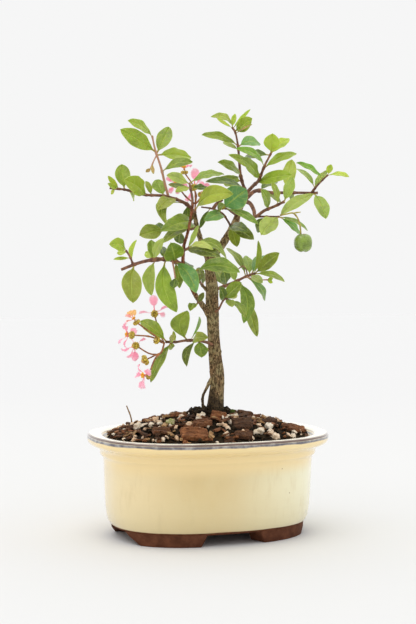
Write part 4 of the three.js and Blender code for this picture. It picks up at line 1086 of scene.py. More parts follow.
# Leafy shoots, as the frame's nodes have them. Each twig has a path, its end radii, and leaves: where
# along the twig, where the tip shows and its depth, the blade's width, roll, arch, sideways bend and look
shoots = {
    "upper_left": [
        {"radii": [1.2, 0.6], "path": [(-10, 214, -4), (-16, 220, -8), (-30, 225, -14), (-45, 226, -20),
            (-56, 229, -23), (-67, 230, -26)],
         "leaves": [(0.62, -57, 236, -34, 12, 25, 0.08), (0.56, -43, 235, -18, 5.5, 50, 0.05),
            (0.42, -36, 236, -8, 9.5, 15, 0.05), (0.85, -59, 246, -20, 10, 10, 0.05),
            (0.28, -35, 216, -22, 10, 40, 0.15), (0.15, -29, 206, -24, 8, 30, 0.15, 0.32),
            (0.14, -15, 207, -2, 8, 15, 0.05, 0, "deep"), (0.9, -68, 238, -29, 3.5, 20, 0, 0, "young"),
            (0.92, -68, 233, -33, 3.5, 30, 0, 0, "young"), (0.95, -66, 226, -22, 2.5, 30, 0, 0, "young"),
            (0.81, -51, 222, -12, 4.5, 60, 0.1, 0, "young")]},
        {"radii": [0.9, 0.55], "path": [(-28, 225, -13), (-30, 232, -13.5), (-33, 244, -14),
            (-37, 256, -13), (-39, 265, -12)],
         "leaves": [(0.98, -55, 275, -20, 8.5, 50, 0.12), (0.73, -60, 269, -22, 11, 15, 0.06, 0, "bright"),
            (0.7, -28, 271, -6, 10, 8, 0.04), (0.68, -13, 251, 0, 10.5, 35, 0.05, 0, "bright"),
            (0.4, -12, 248, -15, 8.5, 45, 0.15)]},
        {"radii": [0.5, 0.4], "path": [(-36, 252, -13), (-38, 248, -17), (-40, 243, -19)],
         "leaves": [(0.95, -43, 241, -20, 2.5, 20, 0, 0, "tan"),
            (0.7, -38, 240, -23, 2.5, 20, 0, 0, "tan")]},
    ],
    "spur": [
        {"radii": [0.9, 0.55], "path": [(-12, 219, -25.6), (-12, 224, -25), (-13, 229, -24),
            (-14, 234, -23)],
         "leaves": [(0.95, -29, 239, -30, 7.5, 30, 0.06, 0, "pale"), (0.98, 9, 240, -20, 8.5, 50, 0.14),
            (0.8, -23, 228, -32, 5.5, 40, 0.05), (0.75, 0, 230, -18, 6.5, 50, 0.08, 0, "deep"),
            (0.7, -28, 233, -20, 4.5, 40, 0.05, 0, "deep")]},
    ],
    "top": [
        {"radii": [1.2, 0.55], "path": [(24, 227, 6), (22, 232, 6), (20, 239, 5), (19, 248, 3),
            (18, 259, 1), (16, 268, 0), (14, 271, 0)],
         "leaves": [(0.97, 0, 278, -6, 7.5, 55, 0.26), (0.99, 4, 277, 5, 2.5, 30, 0, 0, "young"),
            (1, 16, 280, 2, 3.5, 10, 0, 0, "young"), (0.93, 27, 277, -8, 9.5, 15, 0.05),
            (0.98, 26, 283, 3, 2.5, 20, 0, 0, "young"), (0.9, 27, 273, -14, 1.5, 30, 0, 0, "tan"),
            (0.72, -6, 266, -6, 8, 45, 0.12), (0.66, 8, 261, 6, 4, 40, 0.05, 0, "pale"),
            (0.7, 33, 260, 12, 8.5, 30, 0.1, -0.1, "mint"), (0.27, 5, 248, -12, 7.5, 45, 0.1),
            (0.2, 9, 234, 14, 8.5, 30, 0.05), (0.08, -3, 235, -20, 7.5, 50, 0.08, 0, "deep"),
            (0.26, 3, 236, -6, 4, 30, 0.05)]},
    ],
    "upper_right": [
        {"radii": [1.4, 0.6], "path": [(21, 224, 5.6), (28, 232, 2), (32, 236, -3), (34, 241, -6),
            (36, 246, -8), (40, 254, -10)],
         "leaves": [(0.76, 17, 257, -20, 7.5, 50, 0.15, 0, "vivid"),
            (0.97, 23, 252, 6, 8, 35, 0.08, 0, "deep"), (1, 41, 267, -13, 10.5, 5, 0.04, 0, "young"),
            (0.98, 52, 264, -2, 7.5, 35, 0.08, 0, "young"),
            (0.73, 57, 254, -2, 8.5, 45, 0.12, 0, "bright"), (0.6, 12, 253, -12, 8, 45, 0.1),
            (0.52, 20, 251, -24, 8.5, 30, 0.08), (0.36, 54, 240, -12, 9.5, 35, 0.1, 0, "bright")]},
    ],
    "right": [
        {"radii": [1.4, 0.8], "path": [(24, 224, 7), (30, 229, 10), (40, 228, 14), (54, 228, 18),
            (68, 228, 20), (71, 228, 21)],
         "leaves": [(0.62, 54, 250, 26, 9.5, 15, 0.04, 0, "bright"),
            (0.95, 77, 211, 12, 10, 20, 0.08, 0, "pale"), (0.7, 53, 223, 27, 3.5, 30, 0),
            (0.3, 47, 222, 24, 5.5, 35, 0.05), (0.22, 44, 235, 26, 7.5, 45, 0.08, 0, "deep"),
            (1, 47, 214, 6, 8.5, 30, 0.06, 0, "pale")]},
        {"radii": [0.8, 0.5], "path": [(67, 228, 20), (72, 234, 17), (78, 240, 14)],
         "leaves": [(0.72, 57, 248, 10, 6, 50, 0.12, 0, "vivid"), (0.25, 57, 244, 30, 6, 50, 0.1),
            (0.15, 77, 243, 27, 6, 35, 0.06), (1, 80, 247, 15, 4.5, 15, 0, 0, "young"),
            (0.97, 92, 239, 8, 6, 60, 0.12, 0, "young")]},
    ],
    "hook": [
        {"radii": [1.5, 0.8], "path": [(22, 222, 5.6), (26, 221, 2), (29, 216, -4), (30, 212, -8),
            (36, 216, -13), (43, 219, -17), (49, 222, -20)],
         "leaves": [(1, 55, 238, -22, 8, 30, 0.05, 0, "pale"), (0.74, 34, 230, -27, 8, 40, 0.08),
            (0.9, 41, 235, -12, 5.5, 40, 0.08)]},
        {"radii": [0.8, 0.55], "path": [(30, 212, -8), (37, 212, -12), (46, 212, -16)],
         "leaves": [(0.98, 34, 200, -24, 11.5, 25, 0.1, 0, "pale"),
            (0.5, 31, 202, -4, 7.5, 40, 0.1, 0, "deep"), (1, 60, 201, -4, 6.5, 40, 0.08, 0, "vivid"),
            (0.97, 65, 203, -10, 4.5, 55, 0.12)]},
    ],
    "centre": [
        {"radii": [0.9, 0.55], "path": [(17, 213, 4.5), (14, 215, -6), (11, 217, -13), (8, 217, -17)],
         "leaves": [(1, 24, 230, -20, 16, 8, 0.06, 0, "cool"), (0.85, 32, 207, -22, 6, 40, 0.1)]},
    ],
    "centre_left": [
        {"radii": [0.8, 0.5], "path": [(14, 205, 3), (11, 210, -8), (8, 214, -12), (1, 217, -15),
            (-6, 218, -17)],
         "leaves": [(0.1, 29, 197, -12, 8, 20, 0.05, 0, "deep"),
            (0.06, 25, 202, -20, 8.5, 30, 0.08, 0, "deep"), (0.08, 18, 192, -4, 7.5, 15, 0.04),
            (0.5, -4, 209, -22, 8, 35, 0.16, 0, "mint"), (0.85, -7, 204, -10, 4, 30, 0.05, 0, "deep"),
            (0.7, 9, 220, -24, 5.5, 40, 0.08)]},
        {"radii": [1.3, 0.9], "path": [(2, 217, -13), (4, 220, -12), (8, 223, -11)],
         "leaves": []},
    ],
    "left_upper": [
        {"radii": [1, 0.55], "path": [(-8, 205, -3), (-15, 203, -11), (-23, 203, -14), (-31, 203, -17)],
         "leaves": [(0.98, -47, 199, -22, 11.5, 28, 0.08), (0.22, -33, 202, -32, 11.5, 35, 0.2),
            (0.3, -32, 194, -34, 7.5, 40, 0.1), (0.9, -39, 203, -8, 8, 20, 0.05, 0, "deep"),
            (0.6, -21, 194, -8, 9.5, 30, 0.05, 0, "deep"), (0.4, -29, 209, -6, 8, 35, 0.1)]},
    ],
    "left_top": [
        {"radii": [0.9, 0.6], "path": [(-11, 215, -6), (-10, 215, -14), (-10, 216, -22)],
         "leaves": [(0.95, 15, 227, -36, 11.5, 22, 0.1, -0.13, "bright")]},
    ],
    "left_mid": [
        {"radii": [1.4, 0.95], "path": [(-19, 180, -23), (-27, 183, -25), (-35, 183, -27), (-42, 182, -28),
            (-49, 180, -29), (-59, 176, -31)],
         "leaves": [(0.78, -51, 154, -37, 13, 15, 0.08, 0.09),
            (0.43, -39, 159, -24, 8.5, 15, 0.05, 0.13, "pale"), (0.27, -22, 148, -30, 12, 10, 0.08, 0.12),
            (0.12, -9, 161, -36, 10.5, 20, 0.08, -0.06, "mint"), (0.12, -20, 164, -24, 6.5, 40, 0.05),
            (0.4, -43, 188, -20, 7.5, 30, 0.05, 0, "young"),
            (0.47, -31, 197, -38, 6.5, 30, 0.08, 0, "pale"), (0.5, -39, 196, -24, 7.5, 30, 0.1),
            (0.3, -33, 192, -14, 7.5, 35, 0.05, 0, "deep"), (0.1, -26, 194, -34, 13.5, 15, 0.08)]},
        {"radii": [0.7, 0.5], "path": [(-51, 179, -29), (-53, 184, -31), (-56, 189, -32)],
         "leaves": [(1, -67, 193, -38, 9.5, 35, 0.22, 0, "bright"),
            (0.15, -49, 196, -27, 3.5, 25, 0.05, -0.15, "young"),
            (0.5, -64, 183, -40, 2.5, 30, 0, 0, "young"), (0.9, -62, 187, -26, 3.5, 20, 0, 0, "young")]},
        {"radii": [0.6, 0.5], "path": [(-25, 182, -25), (-24, 177, -28), (-23, 171, -30)],
         "leaves": [(1, -24, 164, -32, 6, 20, 0.05, 0, "deep")]},
    ],
    "centre_low": [
        {"radii": [0.75, 0.5], "path": [(-18, 188, -25), (-16, 190, -31), (-14, 191, -35)],
         "leaves": [(0.3, 7, 185, -42, 9.5, 45, 0.1, 0, "deep"), (1, 11, 184, -34, 9.5, 55, 0.33),
            (0.85, 2, 190, -47, 5.5, 50, 0.15, 0, "pale"), (0.8, -8, 206, -40, 3.5, 30, 0, 0, "pale")]},
    ],
    "centre_under": [
        {"radii": [0.75, 0.5], "path": [(-17, 177, -21), (-14, 176, -25), (-11, 175, -27)],
         "leaves": [(1, 20, 175, -28, 12, 45, 0.2), (0.6, -15, 181, -14, 8, 35, 0.05, 0, "deep"),
            (0.95, -7, 168, -18, 6, 30, 0.05, 0, "deep")]},
    ],
    "low_right": [
        {"radii": [1.2, 0.75], "path": [(2, 161, 2), (6, 164, 5), (11, 166, 9), (18, 169, 13),
            (24, 172, 15), (30, 174, 17)],
         "leaves": [(0.82, 11, 191, 22, 7.5, 50, 0.14), (0.9, 24, 186, 28, 7.5, 20, 0.05),
            (0.93, 39, 186, 32, 10, 40, 0.08, 0, "cool"), (0.97, 32, 196, 14, 4, 30, 0, 0.12),
            (1, 46, 188, 10, 9.5, 20, 0.05), (0.98, 50, 169, 22, 6.5, 50, 0.14),
            (0.92, 35, 168, 4, 6, 30, 0.05, 0, "pale"), (0.82, 37, 156, 26, 6.5, 40, 0.16, 0, "cool"),
            (0.66, 23, 141, 4, 10, 15, 0.08, -0.13), (0.62, 32, 132, 26, 8, 20, 0.1),
            (0.32, 4, 177, 16, 9.5, 20, 0.05), (0.38, 9, 177, -2, 8, 25, 0.05, 0, "deep"),
            (0.6, 13, 179, 6, 6.5, 35, 0.08)]},
        {"radii": [0.5, 0.4], "path": [(24, 172, 15), (31, 170, 11), (39, 170, 8)],
         "leaves": [(0.95, 42, 171, 7, 2.5, 20, 0, 0, "young"), (0.95, 42, 168, 9, 2.5, 20, 0, 0, "young")]},
        {"radii": [0.5, 0.4], "path": [(25, 173, 15.5), (24, 177, 13), (22, 179, 12), (19, 177, 11)],
         "leaves": []},
    ],
    "low_twig": [
        {"radii": [0.8, 0.5], "path": [(3, 148, -1), (6, 150, -4), (8, 154, -7), (10, 157, -9),
            (14, 156, -12)],
         "leaves": [(1, 24, 145, -18, 6, 45, 0.18), (0.85, 15, 152, -20, 6, 30, 0.05, 0, "pale"),
            (0.68, 21, 168, -14, 9.5, 30, 0.06), (0.66, 7, 165, -22, 6.5, 35, 0.08, 0, "deep"),
            (0.8, 18, 161, -4, 6, 30, 0.05, 0, "pale")]},
    ],
    "low_left": [
        {"radii": [1.1, 0.7], "path": [(3, 126, -1), (-2, 128, -5), (-8, 129, -8.5), (-16, 129, -11),
            (-22, 128, -14), (-29, 128, -18)],
         "leaves": [(0.98, -46, 142, -14, 10, 32, 0.16), (0.88, -39, 101, -28, 8, 40, 0.06),
            (0.56, -15, 149, -8, 12.5, 8, 0.05, -0.26), (0.52, -7, 145, 6, 2.5, 40, 0.05, 0.1, "vivid"),
            (0.46, -1, 131, -22, 8, 40, 0.16), (0.36, -5, 118, -12, 9.5, 20, 0.05),
            (0.4, -15, 112, -20, 5.5, 25, 0.05, 0.12, "deep"),
            (0.8, -24, 135, -24, 2.5, 20, 0, 0, "young"), (0.9, -25, 123, -10, 4.5, 30, 0.05, 0, "pale"),
            (0.92, -23, 132, -26, 4.5, 40, 0.05, 0, "pale")]},
    ],
    "branch_low": [
        {"radii": [0.6, 0.5], "path": [(-7, 156, -6), (-8, 154, -11), (-9, 153, -13)],
         "leaves": [(0.9, -13, 149, -18, 6, 45, 0.22), (0.6, -4, 161, -12, 4, 30, 0, 0, "deep")]},
    ],
    "stub_leaf": [
        {"radii": [1.2, 0.7], "path": [(-2, 163, -1), (-5, 166, 5), (-7, 169, 8)],
         "leaves": [(0.95, -7, 178, 14, 6.5, 30, 0.05, 0, "deep"),
            (0.6, -1, 176, 18, 5.5, 40, 0.05, 0, "deep")]},
    ],
}


# Leaf: a flat blade is shaped once, row by row, then each copy is bent into its place on a twig
leafShape = {
    "rows": 20, "columns": 10, "stalkShare": 0.13, "stalkHalfWidth": 0.045, "groove": 0.035,
    "thickness": 0.36,
    "ripple": 0.05, "twist": 14, "sideBend": 0.05,
}


def bladeWidth(share):
    return math.sin(math.pi * share ** 1.05) ** 0.66


def modelLeafPattern():
    rows, columns = leafShape["rows"], leafShape["columns"]
    bpy.ops.mesh.primitive_grid_add(x_subdivisions=columns, y_subdivisions=rows, size=1, location=(0, 0, 0))
    leaf = named("leafPattern")
    leaf.data.uv_layers[0].name = "leafMap"
    for vertex in leaf.data.vertices:
        vertex.co.y += 0.5
    editMode(leaf)
    for row in range(rows + 1):
        place = row / rows
        blade = max(0, (place - leafShape["stalkShare"]) / (1 - leafShape["stalkShare"]))
        half = max(leafShape["stalkHalfWidth"], 0.5 * bladeWidth(min(blade, 0.995)))
        if row == rows:
            half = 0.02
        selectVertices(leaf, lambda co: abs(co.y - place) < 0.2 / rows)
        bpy.ops.transform.resize(value=(2 * half, 1, 1), center_override=(0, place, 0))
    # The midrib is a groove: its column of points is pressed down
    selectVertices(leaf, lambda co: abs(co.x) < 1e-4 and co.y > leafShape["stalkShare"] + 0.02)
    bpy.ops.transform.translate(value=(0, 0, -leafShape["groove"]))
    objectMode()
    return leaf


def layLeaf(pattern, name, base, tip, width, roll, arch, bow, draw):
    # Bends a copy of the flat leaf between its base and tip, in layout millimetres
    axis = tip - base
    length = axis.length
    axis.normalize()
    toEye = Vector((0, -1, 0)) + axis * axis.y
    toEye.normalize()
    upward = axis.cross(toEye)
    if upward.z < 0:
        upward.negate()
    angle = math.radians(roll)
    normal = toEye * math.cos(angle) + upward * math.sin(angle)
    across = axis.cross(normal)
    leaf = copyOf(pattern, name)
    fold = 0.16 if width > 9.5 else 0.1
    twist = math.radians(draw.uniform(-1, 1) * leafShape["twist"])
    sideBend = (4 * bow + draw.uniform(-2, 2) * leafShape["sideBend"]) * length
    phase, waves = draw.uniform(0, 6.28), draw.uniform(2.2, 3.4)
    ripple = leafShape["ripple"] * width * draw.uniform(0.4, 1.2)

    def bend(co):
        share = co.y
        turn = twist * max(0, share - 0.3)
        side, rise = co.x * width, co.z * width
        reach = min(1, abs(co.x) * 2 / max(bladeWidth(min(max((share - 0.13) / 0.87, 0.02), 0.98)), 0.1))
        wave = ripple * reach ** 2 * math.sin(2 * math.pi * waves * share + phase + (0.9 if co.x > 0 else 0))
        wave *= 1 if share > leafShape["stalkShare"] else 0
        lift = 4 * arch * length * share * (1 - share) + fold * abs(side) + wave + rise
        sideways = side * math.cos(turn) + sideBend * share * (1 - share)
        return (base + axis * (share * length) + across * sideways + normal * (lift + side * math.sin(turn)))

    moveVertices(leaf, bend)
    return leaf


def veinGroup():
    # Midrib and side veins of a leaf from its own map: x across, y from the stalk to the tip
    group, given, out = newGroup("leaf veins", ("Pairs",), ("Midrib", "Veins", "Rim"))
    parts = partsOf(group, given["Vector"])
    side = maths(group, "ABSOLUTE", maths(group, "SUBTRACT", parts[0], 0.5))
    midrib = remap(group, side, 0.055, 0.012)
    rim = remap(group, side, 0.45, 0.49)
    curved = maths(group, "POWER", side, 1.35)
    lean = maths(group, "MULTIPLY_ADD", curved, -0.62, parts[1])
    wave = maths(group, "SINE", maths(group, "MULTIPLY", maths(group, "MULTIPLY", lean, given["Pairs"]),
                                      6.2832))
    veins = maths(group, "MULTIPLY", remap(group, wave, 0.86, 1.0), remap(group, side, 0.5, 0.36))
    feed(group, out["Midrib"], midrib)
    feed(group, out["Veins"], veins)
    feed(group, out["Rim"], rim)
    return group


veinsOf = veinGroup()
leafColors = palette(
    shade=(96, 116, 8), light=(160, 174, 44), rib=(196, 206, 104), blemish=(146, 120, 40),
    stalk=(168, 148, 60), cool=(66, 136, 92), mint=(112, 172, 104), young=(190, 208, 50),
    pale=(178, 190, 96), bright=(168, 186, 50), vivid=(100, 160, 20), deep=(66, 92, 8),
    tan=(186, 140, 84), dusk=(70, 92, 14), under=(176, 188, 90), underCool=(154, 176, 96),
)
leafGlow = {"glow": 0.35, "glowScale": 0.0012, "glowRadius": (0.6, 1.0, 0.25)}
# The bluish cool look and the mint look are painted sheen: they stand for the bright surroundings reflected
# on glossy leaves
leafKinds = ("cool", "mint", "young", "pale", "bright", "vivid", "deep", "tan")


def kindColors(tree, color):
    # Lays the colour of each look over this one where the leaf's own value says so; two of the looks are
    # painted sheen
    for kind in leafKinds:
        share = ownValue(tree, kind)
        color = blend(tree, share, color, leafColors[kind])
    return color


def leafUpper():
    material, tree, shader, place = newMaterial("leafUpper")
    own = ownMap(tree, "leafMap")
    tone = ownValue(tree, "tone")
    cloud = mottled(tree, place, scale=120, detail=3, low=0.3, high=0.7)
    mix = maths(tree, "MULTIPLY_ADD", cloud, 0.3, maths(tree, "MULTIPLY", tone, 0.7))
    color = kindColors(tree, blend(tree, mix, leafColors["shade"], leafColors["light"]))
    # No blade is one flat colour: broad darker parts, fine paler dapples
    dusk = mottled(tree, place, scale=95, detail=3, low=0.46, high=0.68)
    color = tint(tree, dusk, 0.36, color, leafColors["dusk"])
    dapple = mottled(tree, place, scale=460, detail=5, low=0.5, high=0.66)
    color = tint(tree, dapple, 0.24, color, leafColors["rib"])
    veins = useGroup(tree, veinsOf, Vector=own, Pairs=6.5)
    color = tint(tree, veins["Veins"], 0.2, color, leafColors["rib"])
    color = tint(tree, veins["Midrib"], 0.5, color, leafColors["rib"])
    # The blade's edge is tinted pale: partly a paler margin, partly a painted rim highlight
    color = tint(tree, veins["Rim"], 0.4, color, leafColors["rib"])
    spots = flecked(tree, place, scale=170, size=0.16, share=0.07)
    color = tint(tree, spots, 0.6, color, leafColors["blemish"])
    split = partsOf(tree, own)[1]
    color = blend(tree, remap(tree, split, 0.15, 0.1), color, leafColors["stalk"])
    height = maths(tree, "MULTIPLY_ADD", veins["Midrib"], -1.0, maths(tree, "MULTIPLY", veins["Veins"], -0.5))
    skin = noiseAt(tree, place, 900, 3)
    normal = bump(tree, skin, 0.0002, 0.25, bump(tree, height, 0.0003, 0.5))
    setShader(tree, shader, color=color, roughness=remap(tree, skin, 0.3, 0.7, 0.3, 0.46), specular=0.42,
              normal=normal, **leafGlow)
    return material


def leafUnder():
    material, tree, shader, place = newMaterial("leafUnderside")
    own = ownMap(tree, "leafMap")
    tone = ownValue(tree, "tone")
    young = ownValue(tree, "young")
    cloud = mottled(tree, place, scale=140, detail=3, low=0.3, high=0.7)
    mix = maths(tree, "MULTIPLY_ADD", cloud, 0.4, maths(tree, "MULTIPLY", tone, 0.6))
    color = blend(tree, mix, leafColors["underCool"], leafColors["under"])
    color = tint(tree, young, 0.8, color, leafColors["young"])
    veins = useGroup(tree, veinsOf, Vector=own, Pairs=6.5)
    color = tint(tree, veins["Veins"], 0.35, color, leafColors["rib"])
    color = tint(tree, veins["Midrib"], 0.7, color, leafColors["rib"])
    height = maths(tree, "ADD", veins["Midrib"], maths(tree, "MULTIPLY", veins["Veins"], 0.6))
    setShader(tree, shader, color=color, roughness=remap(tree, cloud, 0, 1, 0.5, 0.68),
              normal=bump(tree, height, 0.0003, 0.6), **leafGlow)
    return material


twigColors = palette(
    dark=(88, 52, 38), light=(156, 108, 78), pore=(186, 158, 122), green=(150, 136, 70),
    tan=(196, 146, 116),
)


def twigLook():
    material, tree, shader, place = newMaterial("twigBark")
    streaks = mottled(tree, place, scale=420, detail=4, low=0.35, high=0.68)
    color = blend(tree, streaks, twigColors["dark"], twigColors["light"])
    pores = flecked(tree, place, scale=800, size=0.3, share=0.3)
    color = tint(tree, pores, 0.7, color, twigColors["pore"])
    green = ownValue(tree, "green")
    color = blend(tree, green, color, twigColors["green"])
    tan = ownValue(tree, "tan")
    color = blend(tree, tan, color, twigColors["tan"])
    setShader(tree, shader, color=color, roughness=remap(tree, streaks, 0, 1, 0.55, 0.78),
              normal=bump(tree, streaks, 0.0003, 0.7))
    return material


# Twigs with a young pinkish tan bark
tanTwigs = {("upper_left", 1), ("upper_left", 2), ("left_mid", 2), ("low_right", 1)}


plainEnding = (0, "olive")                               # a leaf's bend and look if its row stops before them


def makeShoots():
    pattern = modelLeafPattern()
    upper, under, bark = leafUpper(), leafUnder(), twigLook()
    draw = random.Random(5)
    for name, twigs in shoots.items():
        leaves, stems = [], []
        for t, twig in enumerate(twigs):
            points = curvePoints(twig["path"])
            nodesAt = sorted({leaf[0] for leaf in twig["leaves"]})
            stem = stemPiece(f"{name}Twig{t}", twig["path"], twig["radii"], 6, 0.8, nodesAt, 0.35)
            thin = min(1, max(0, (0.7 - twig["radii"][0]) / 0.4))
            setAttribute(stem, "green", 0.6 * thin)
            setAttribute(stem, "tan", 0.8 if (name, t) in tanTwigs else 0.0)
            stems.append(stem)
            for k, row in enumerate(twig["leaves"]):
                share, x, z, depth, width, roll, arch, bow, look = row + plainEnding[len(row) - 7:]
                base = evenPoints(points, [share])[0]
                tip = placed((x, z, depth))
                leaf = layLeaf(pattern, f"{name}Leaf{t}x{k}", base, tip, width, roll, arch, bow, draw)
                setAttribute(leaf, "tone", draw.random())
                for kind in leafKinds:
                    setAttribute(leaf, kind, 0.85 if kind == look else 0.2 * draw.random() ** 3)
                leaves.append(leaf)
        pieces = []
        if leaves:
            blades = joinPieces(leaves, f"{name}Leaves")
            dress(blades, [upper, under])
            applied(blades, "SOLIDIFY", thickness=leafShape["thickness"], offset=-1, material_offset=1)
            pieces.append(blades)
        bare = joinPieces(stems, f"{name}Twigs")
        dress(bare, [bark])
        pieces.append(bare)
        shoot = joinPieces(pieces, f"shoot{''.join(word.title() for word in name.split('_'))}")
        seatPiece(shoot, toFrame, 50, "leafy_shoot", f"shoot_{name}")
    removePiece(pattern)
    print("tree: leafy shoots")


makeShoots()


# Flowers: a petal is shaped once, row by row, and the umbels stand as the frame's nodes have them
petalShape = {
    "length": 10.4, "claw": 0.42, "clawHalfWidth": 0.36, "limbHalfWidth": 2.5, "rows": 26, "columns": 14,
    "thickness": 0.2, "fringe": 0.1, "ruffle": 0.5, "flagScale": 1.15, "rise": 0.6,
}
calyxShape = {"radius": 1.7, "glands": 10, "gland": (0.86, 0.68, 1.2), "ring": 1.75, "seat": 0.3}
stamenShape = {"count": 10, "length": 2.9, "lean": 30, "anther": (0.66, 0.66, 0.84)}
# Each petal: its way to the right, up and towards the eye, and its roll about that way
umbels = {
    "lower": {
        "stems": [
            [(-30, 127, -19.5), (-34, 136, -7), (-36.7, 146.6, -8)],
            [(-30, 127, -19.5), (-39, 134, -26), (-48.5, 140.8, -28)],
            [(-30, 127, -19.5), (-38, 131, -24), (-51.6, 132.4, -37)],
            [(-30, 127, -19.5), (-33, 120, -22), (-39.5, 120, -23), (-48.9, 125.4, -24)],
            [(-30, 127, -19.5), (-32, 121, -24), (-35, 119.5, -27), (-42.5, 115.8, -28)],
            [(-30, 127, -19.5), (-32, 121, -24), (-36, 117, -28.5), (-40.4, 105.4, -33)],
            [(-30, 127, -19.5), (-32.5, 128, -22), (-35, 129, -24)],
        ],
        "calyxSizes": {4: 1.35},
        "blooms": [
            {"centre": (-36.7, 146.6, -8), "axis": (0, 0.12, -1), "size": 1, "tone": 0.3,
             "petals": [(-0.1, 1, 0, 0), (1, 0.32, -0.1, 62), (-1, -0.15, -0.15, -66),
                        (0.55, -0.28, -0.8, 50), (-0.1, -0.3, -0.95, 0)]},
            {"centre": (-48.5, 140.8, -28), "axis": (-0.55, 0.8, 0.2), "size": 0.6, "tone": 0.3, "fade": 0.9,
             "petals": [(-0.5, 0.75, 0.7, 0), (0.15, 0.95, 0.1, 60), (-0.95, 0.3, 0.1, -40),
                        (-0.75, -0.6, 0.3, 30), (-0.3, 0.6, -0.8, 0)]},
            {"centre": (-51.6, 132.4, -37), "axis": (-0.8, 0.05, -0.6), "size": 0.85, "tone": 0.5,
             "petals": [(0.5, 0.3, -0.8, -25), (-0.15, 0.7, 0.3, 10), (-0.55, -0.75, 0.45, -62),
                        (-0.15, -0.95, -0.1, -55), (-0.1, 0.5, -0.85, 0)]},
            {"centre": (-48.9, 125.4, -24), "axis": (-0.35, -0.15, -0.9), "size": 0.85, "tone": 0.5,
             "petals": [(-0.05, -1, -0.25, 38), (0.9, 0.35, -0.45, 70), (-0.6, -0.78, 0.05, 80),
                        (-0.95, -0.1, 0.2, 66), (-0.1, 0.85, -0.4, 50)]},
            {"centre": (-40.4, 105.4, -33), "axis": (-0.75, 0.05, 0.35), "size": 0.85, "tone": 0.3,
             "petals": [(0.4, 0.45, 0.75, 45), (-0.35, 0.7, -0.5, -25), (-0.15, -1, -0.1, -8),
                        (0.15, -1, 0.5, -4), (-0.6, -0.2, -0.9, 30)]},
        ],
    },
    "upper": {
        "stems": [
            [(-10.6, 214, -4), (-10, 220, 1), (-11, 231, 7), (-17.4, 240.8, 9)],
            [(-10, 220, 1), (-16, 224.5, -1), (-22.6, 232.8, -3)],
            [(-10, 220, 1), (-9.5, 226, 0), (-11.3, 231, -2)],
            [(-10, 220, 1), (-6, 224.5, 5), (-3, 227.5, 7)],
            [(-10, 220, 1), (-7, 223, -2), (-6, 226, -4)],
        ],
        "calyxSizes": {},
        "blooms": [
            {"centre": (-17.4, 240.8, 9), "axis": (-0.05, 1, 0.1), "size": 0.75, "tone": 0.1,
             "petals": [(-1, 0.2, -0.3, -15), (-0.6, 0.1, -0.8, 0), (0.1, 0.2, -1, 0),
                        (0.6, 0.12, -0.8, 0), (0.5, 0.12, -0.85, 0)]},
            {"centre": (-22.6, 232.8, -3), "axis": (-0.2, 0.1, 0.95), "size": 0.7, "tone": 0.7,
             "petals": [(1, -0.1, 0.3, 20), (-0.85, 0.5, 0, 20), (-0.4, -0.8, 0.1, 10),
                        (-0.1, 1, 0.1, 30), (0.45, -0.8, 0.3, 40)]},
            {"centre": (-11.3, 231, -2), "axis": (0.2, 0.15, -0.95), "size": 1.05, "tone": 0.35,
             "petals": [(0, 1, -0.1, 0), (1, -0.05, -0.1, 60), (-1, 0.1, -0.3, 45),
                        (-0.65, -0.75, -0.2, 58), (0.6, 0.6, -0.5, 60)]},
            {"centre": (-3, 227.5, 7), "axis": (0.1, 0.5, -0.85), "size": 0.7, "tone": 0.8,
             "petals": [(-0.4, 0.75, -0.3, 40), (0.9, 0.3, -0.2, 50), (0.2, 0.7, -0.7, 0),
                        (0.6, -0.5, -0.6, 20), (-0.6, -0.4, -0.6, 20)]},
        ],
    },
}
flowerColors = palette(
    claw=(250, 138, 166), limb=(255, 194, 212), edge=(255, 230, 238), deep=(253, 150, 186),
    faded=(255, 218, 130), filament=(232, 190, 110), anther=(255, 198, 52),
    glandLight=(222, 198, 70), glandDark=(150, 118, 28), pedicelLight=(186, 122, 70),
    pedicelDark=(112, 60, 38), bud=(204, 196, 92),
    filamentDark=(206, 140, 100), antherDark=(240, 150, 24), budDark=(222, 150, 120), through=(255, 250, 252),
)


def petalHalfWidth(share):
    claw, half = petalShape["claw"], petalShape["clawHalfWidth"]
    if share <= claw:
        return half * (0.8 + 0.2 * share / claw)
    limb = min((share - claw) / (1 - claw), 0.975) ** 1.15
    return max(half, petalShape["limbHalfWidth"] * math.sqrt(1 - (2 * limb - 1) ** 2) ** 0.9)


def modelPetalPattern():
    rows, columns = petalShape["rows"], petalShape["columns"]
    bpy.ops.mesh.primitive_grid_add(x_subdivisions=columns, y_subdivisions=rows, size=1, location=(0, 0, 0))
    petal = named("petalPattern")
    petal.data.uv_layers[0].name = "petalMap"
    for vertex in petal.data.vertices:
        vertex.co.y += 0.5
    editMode(petal)
    for row in range(rows + 1):
        place = row / rows
        selectVertices(petal, lambda co: abs(co.y - place) < 0.2 / rows)
        bpy.ops.transform.resize(value=(2 * petalHalfWidth(place), 1, 1), center_override=(0, place, 0))
    objectMode()
    return petal


